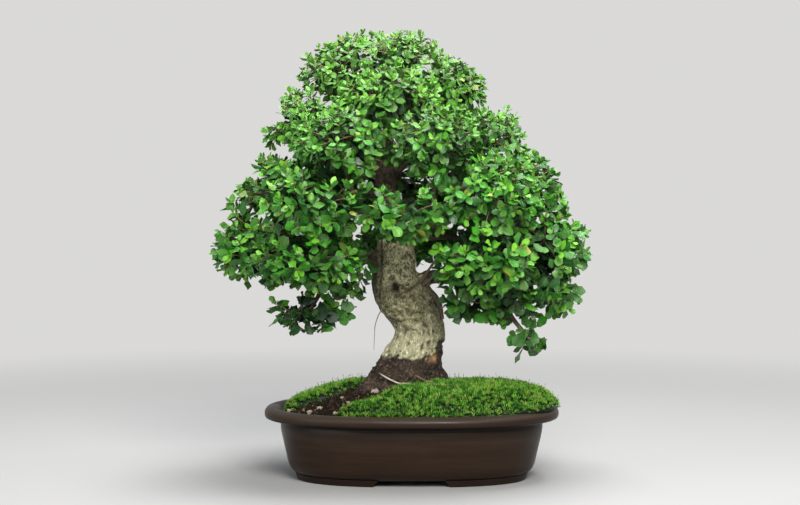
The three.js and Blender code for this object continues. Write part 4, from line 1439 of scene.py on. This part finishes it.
def paintLeaf(wire):
    age, tint, dark = map(wire.number, ("leafAge", "leafTint", "leafDark"))
    onLeaf = wire.add("ShaderNodeUVMap", {"uv_map": "leafUv"})
    across, along = [wire.add("ShaderNodeSeparateXYZ", {}, {0: onLeaf}, out=axis) for axis in "XY"]
    under = wire.maths("GREATER_THAN", along, 1.0001)
    patch = wire.noise(160.0, 3.0)
    rib = wire.maths("ABSOLUTE", across - 0.5).step(0.035, 0.01) * along.step(0.95, 0.6)
    green = age.step(0.0, 0.5).mix((0.15, 0.435, 0.014), (0.036, 0.235, 0.008)).coats(
        (age.step(0.5, 1.0), (0.010, 0.085, 0.006)),
        (tint.step(0.35, 0.05) * 0.5, (0.010, 0.085, 0.016)),
        (tint.step(0.7, 0.95) * 0.4, (0.19, 0.48, 0.03)),
        # lighter, yellower leaves towards the top: younger growth and painted light on the crown's top
        (wire.along("Z").step(0.42, 0.66) * 0.35, (0.18, 0.42, 0.05)),
        (tint.step(0.986, 0.99) * 0.5, (0.38, 0.28, 0.04)),
        (patch.step(0.4, 0.75) * 0.2, (0.015, 0.11, 0.008)),
        (rib * 0.4, (0.26, 0.52, 0.10)),
        (under * 0.45, (0.12, 0.25, 0.06)),
        # painted shade of the inner and low leaves, with random darker tone on the outer shoots
        (dark, (0.005, 0.024, 0.006)),
    )
    veins = wire.add("ShaderNodeTexWave", {"bands_direction": "Y"}, {"Vector": onLeaf, "Scale": 3.2})
    return {
        "Base Color": green,
        "Roughness": under * 0.25 + 0.22 + tint * 0.13 + patch * 0.14,
        "Normal": wire.bump(veins * 0.25 + patch * 0.5 + wire.noise(420.0, 2.0) * 0.3, 0.7 * mm),
        "Specular IOR Level": 0.5,
    }


def freeLeaves(leaf, kind):
    # the leaves that stay inside the part's own box and out of the window beside the trunk
    points = leafPoints(templates[kind], leaf)
    low, high = np.array(cadBox)
    inside = ((points > low + 1 * mm) & (points < high - 1 * mm)).all((1, 2))
    middle = points.mean(1)
    x, height, half, tall = crown["window"]
    height = height - middle[:, 1] * crown["windowFall"]
    clear = (np.abs(middle[:, 0] - x) > half) | (np.abs(middle[:, 2] - height) > tall)
    return inside & clear & ~inCircles(middle, crown["air"])


def makeCrown():
    groups, names, tips = {}, [], []
    spots, nearest = freeSpots()
    for depth, wider, number, larger, toneAndShade in crown["layers"]:
        owners, places, outward = findShoots(spots, nearest, depth, wider)
        leaf = growLeaves(places, outward, number, larger, toneAndShade)
        outer = depth < crown["outerDepth"]
        fine = (leaf["base"][:, 2] < crown["fullBelow"]) & (leaf["base"][:, 1] < 0) & outer
        for kind, chosen in (("full", fine), ("plain" if outer else "slim", ~fine)):
            some = {key: values[chosen] for key, values in leaf.items()}
            kept = freeLeaves(some, kind)
            for name in sorted(set(owners)):
                mine = kept & (owners[some["shoot"]] == name)
                if mine.any():
                    part = {key: values[mine] for key, values in some.items()}
                    groups.setdefault(name, []).append((kind, part))
        names.append(owners)
        tips.append(places)
    look = material("leafGreen", paintLeaf)
    for name, mine in groups.items():
        addPiece(name.replace("leaves_", "foliage_"), leafMesh(name, mine), look, name)
    print("crown:", sum(len(leaf["length"]) for mine in groups.values() for _, leaf in mine), "leaves")
    makeTwigs(np.concatenate(names), np.concatenate(tips))


def makeTwigs(names, tips):
    # Branches from the limbs' elbows to the middle of each leaf mass, boughs from there to the middle of
    # each group of shoots, and a thin stem from the bough to each shoot's tip.
    blocks, young = [], []

    def grow(paths, thick, thin, sides, youth):
        # tapering tubes, and how young their wood is, from 0 at the start to youth at the end
        count, steps = paths.shape[:2]
        blocks.append(tubes(paths, np.tile(np.linspace(thick, thin, steps) * mm, (count, 1)), sides))
        rings = np.repeat(np.linspace(0, youth, steps), sides)
        young.append(np.tile(np.append(rings, [0, youth]), count))

    for _, elbow, thick, masses in wood["limbs"]:
        for mass in masses.split():
            middle = sum(boxOf("leaves_" + mass)) / 2
            path = wander(bent(np.array(elbow) * mm, middle, 0.08, 16), 30 * mm, 6 * mm, len(blocks))
            grow(path, 0.58 * thick, 2.4, 10, 0)
            ends = tips[names == "leaves_" + mass]
            if len(ends) == 0:
                continue
            hubs = [ends[0]]
            while len(hubs) < min(crown["boughs"], len(ends)):
                gap = np.min([np.linalg.norm(ends - hub, axis=1) for hub in hubs], axis=0)
                hubs.append(ends[gap.argmax()])
            group = np.linalg.norm(ends[:, None] - np.array(hubs), axis=2).argmin(1)
            centre = np.array([ends[group == k].mean(0) for k in range(len(hubs))])
            hubs = middle + (centre - middle) * 0.6
            start = np.tile(path[0, -1], (len(hubs), 1))
            grow(wander(bent(start, hubs, 0.05, 7), 18 * mm, 4 * mm, 5), 2.2, 1.1, 6, 0)
            stems = wander(bent(hubs[group], ends, 0.04, 4), 12 * mm, 1.5 * mm, 9)
            stems[:, -1] = ends
            grow(stems, 1.2, 0.55, 3, 1)
    mesh = makeMesh("twigs", *stacked(blocks), {"young": np.concatenate(young)})
    addPiece("branches_and_twigs", mesh, twigLook, "trunk_and_branches")
    print("twigs:", len(mesh.polygons), "faces")


# Screens and clips keep their nodes and get their finish

def paintScreen(wire):
    tone = wire.noise(300.0).mix((0.010, 0.010, 0.011), (0.028, 0.028, 0.030))
    return {"Base Color": tone, "Roughness": 0.55, "Normal": wire.bump(wire.noise(900.0), 0.1 * mm)}


def paintWire(wire):
    tone = wire.noise(400.0, 3.0).mix((0.42, 0.42, 0.43), (0.62, 0.62, 0.63))
    rough = wire.noise(700.0) * 0.25 + 0.3
    return {"Base Color": tone, "Metallic": 1.0, "Roughness": rough}


def dressNodes():
    looks = {
        "drain_screen": material("screenMesh", paintScreen),
        "screen_clip": material("clipWire", paintWire),
    }
    for name, look in looks.items():
        for side in ("left", "right"):
            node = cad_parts[f"{name}_{side}"]
            node.data.materials.clear()
            node.data.materials.append(look)


setCamera()
setLamps()
setAir()
makeFloor()
makePot()
makeSoil()
makeStones()
makeMoss()
twigLook = material("twigBark", paintTwig)
makeTrunk()
makeBareRoots()
makeCrown()
dressNodes()
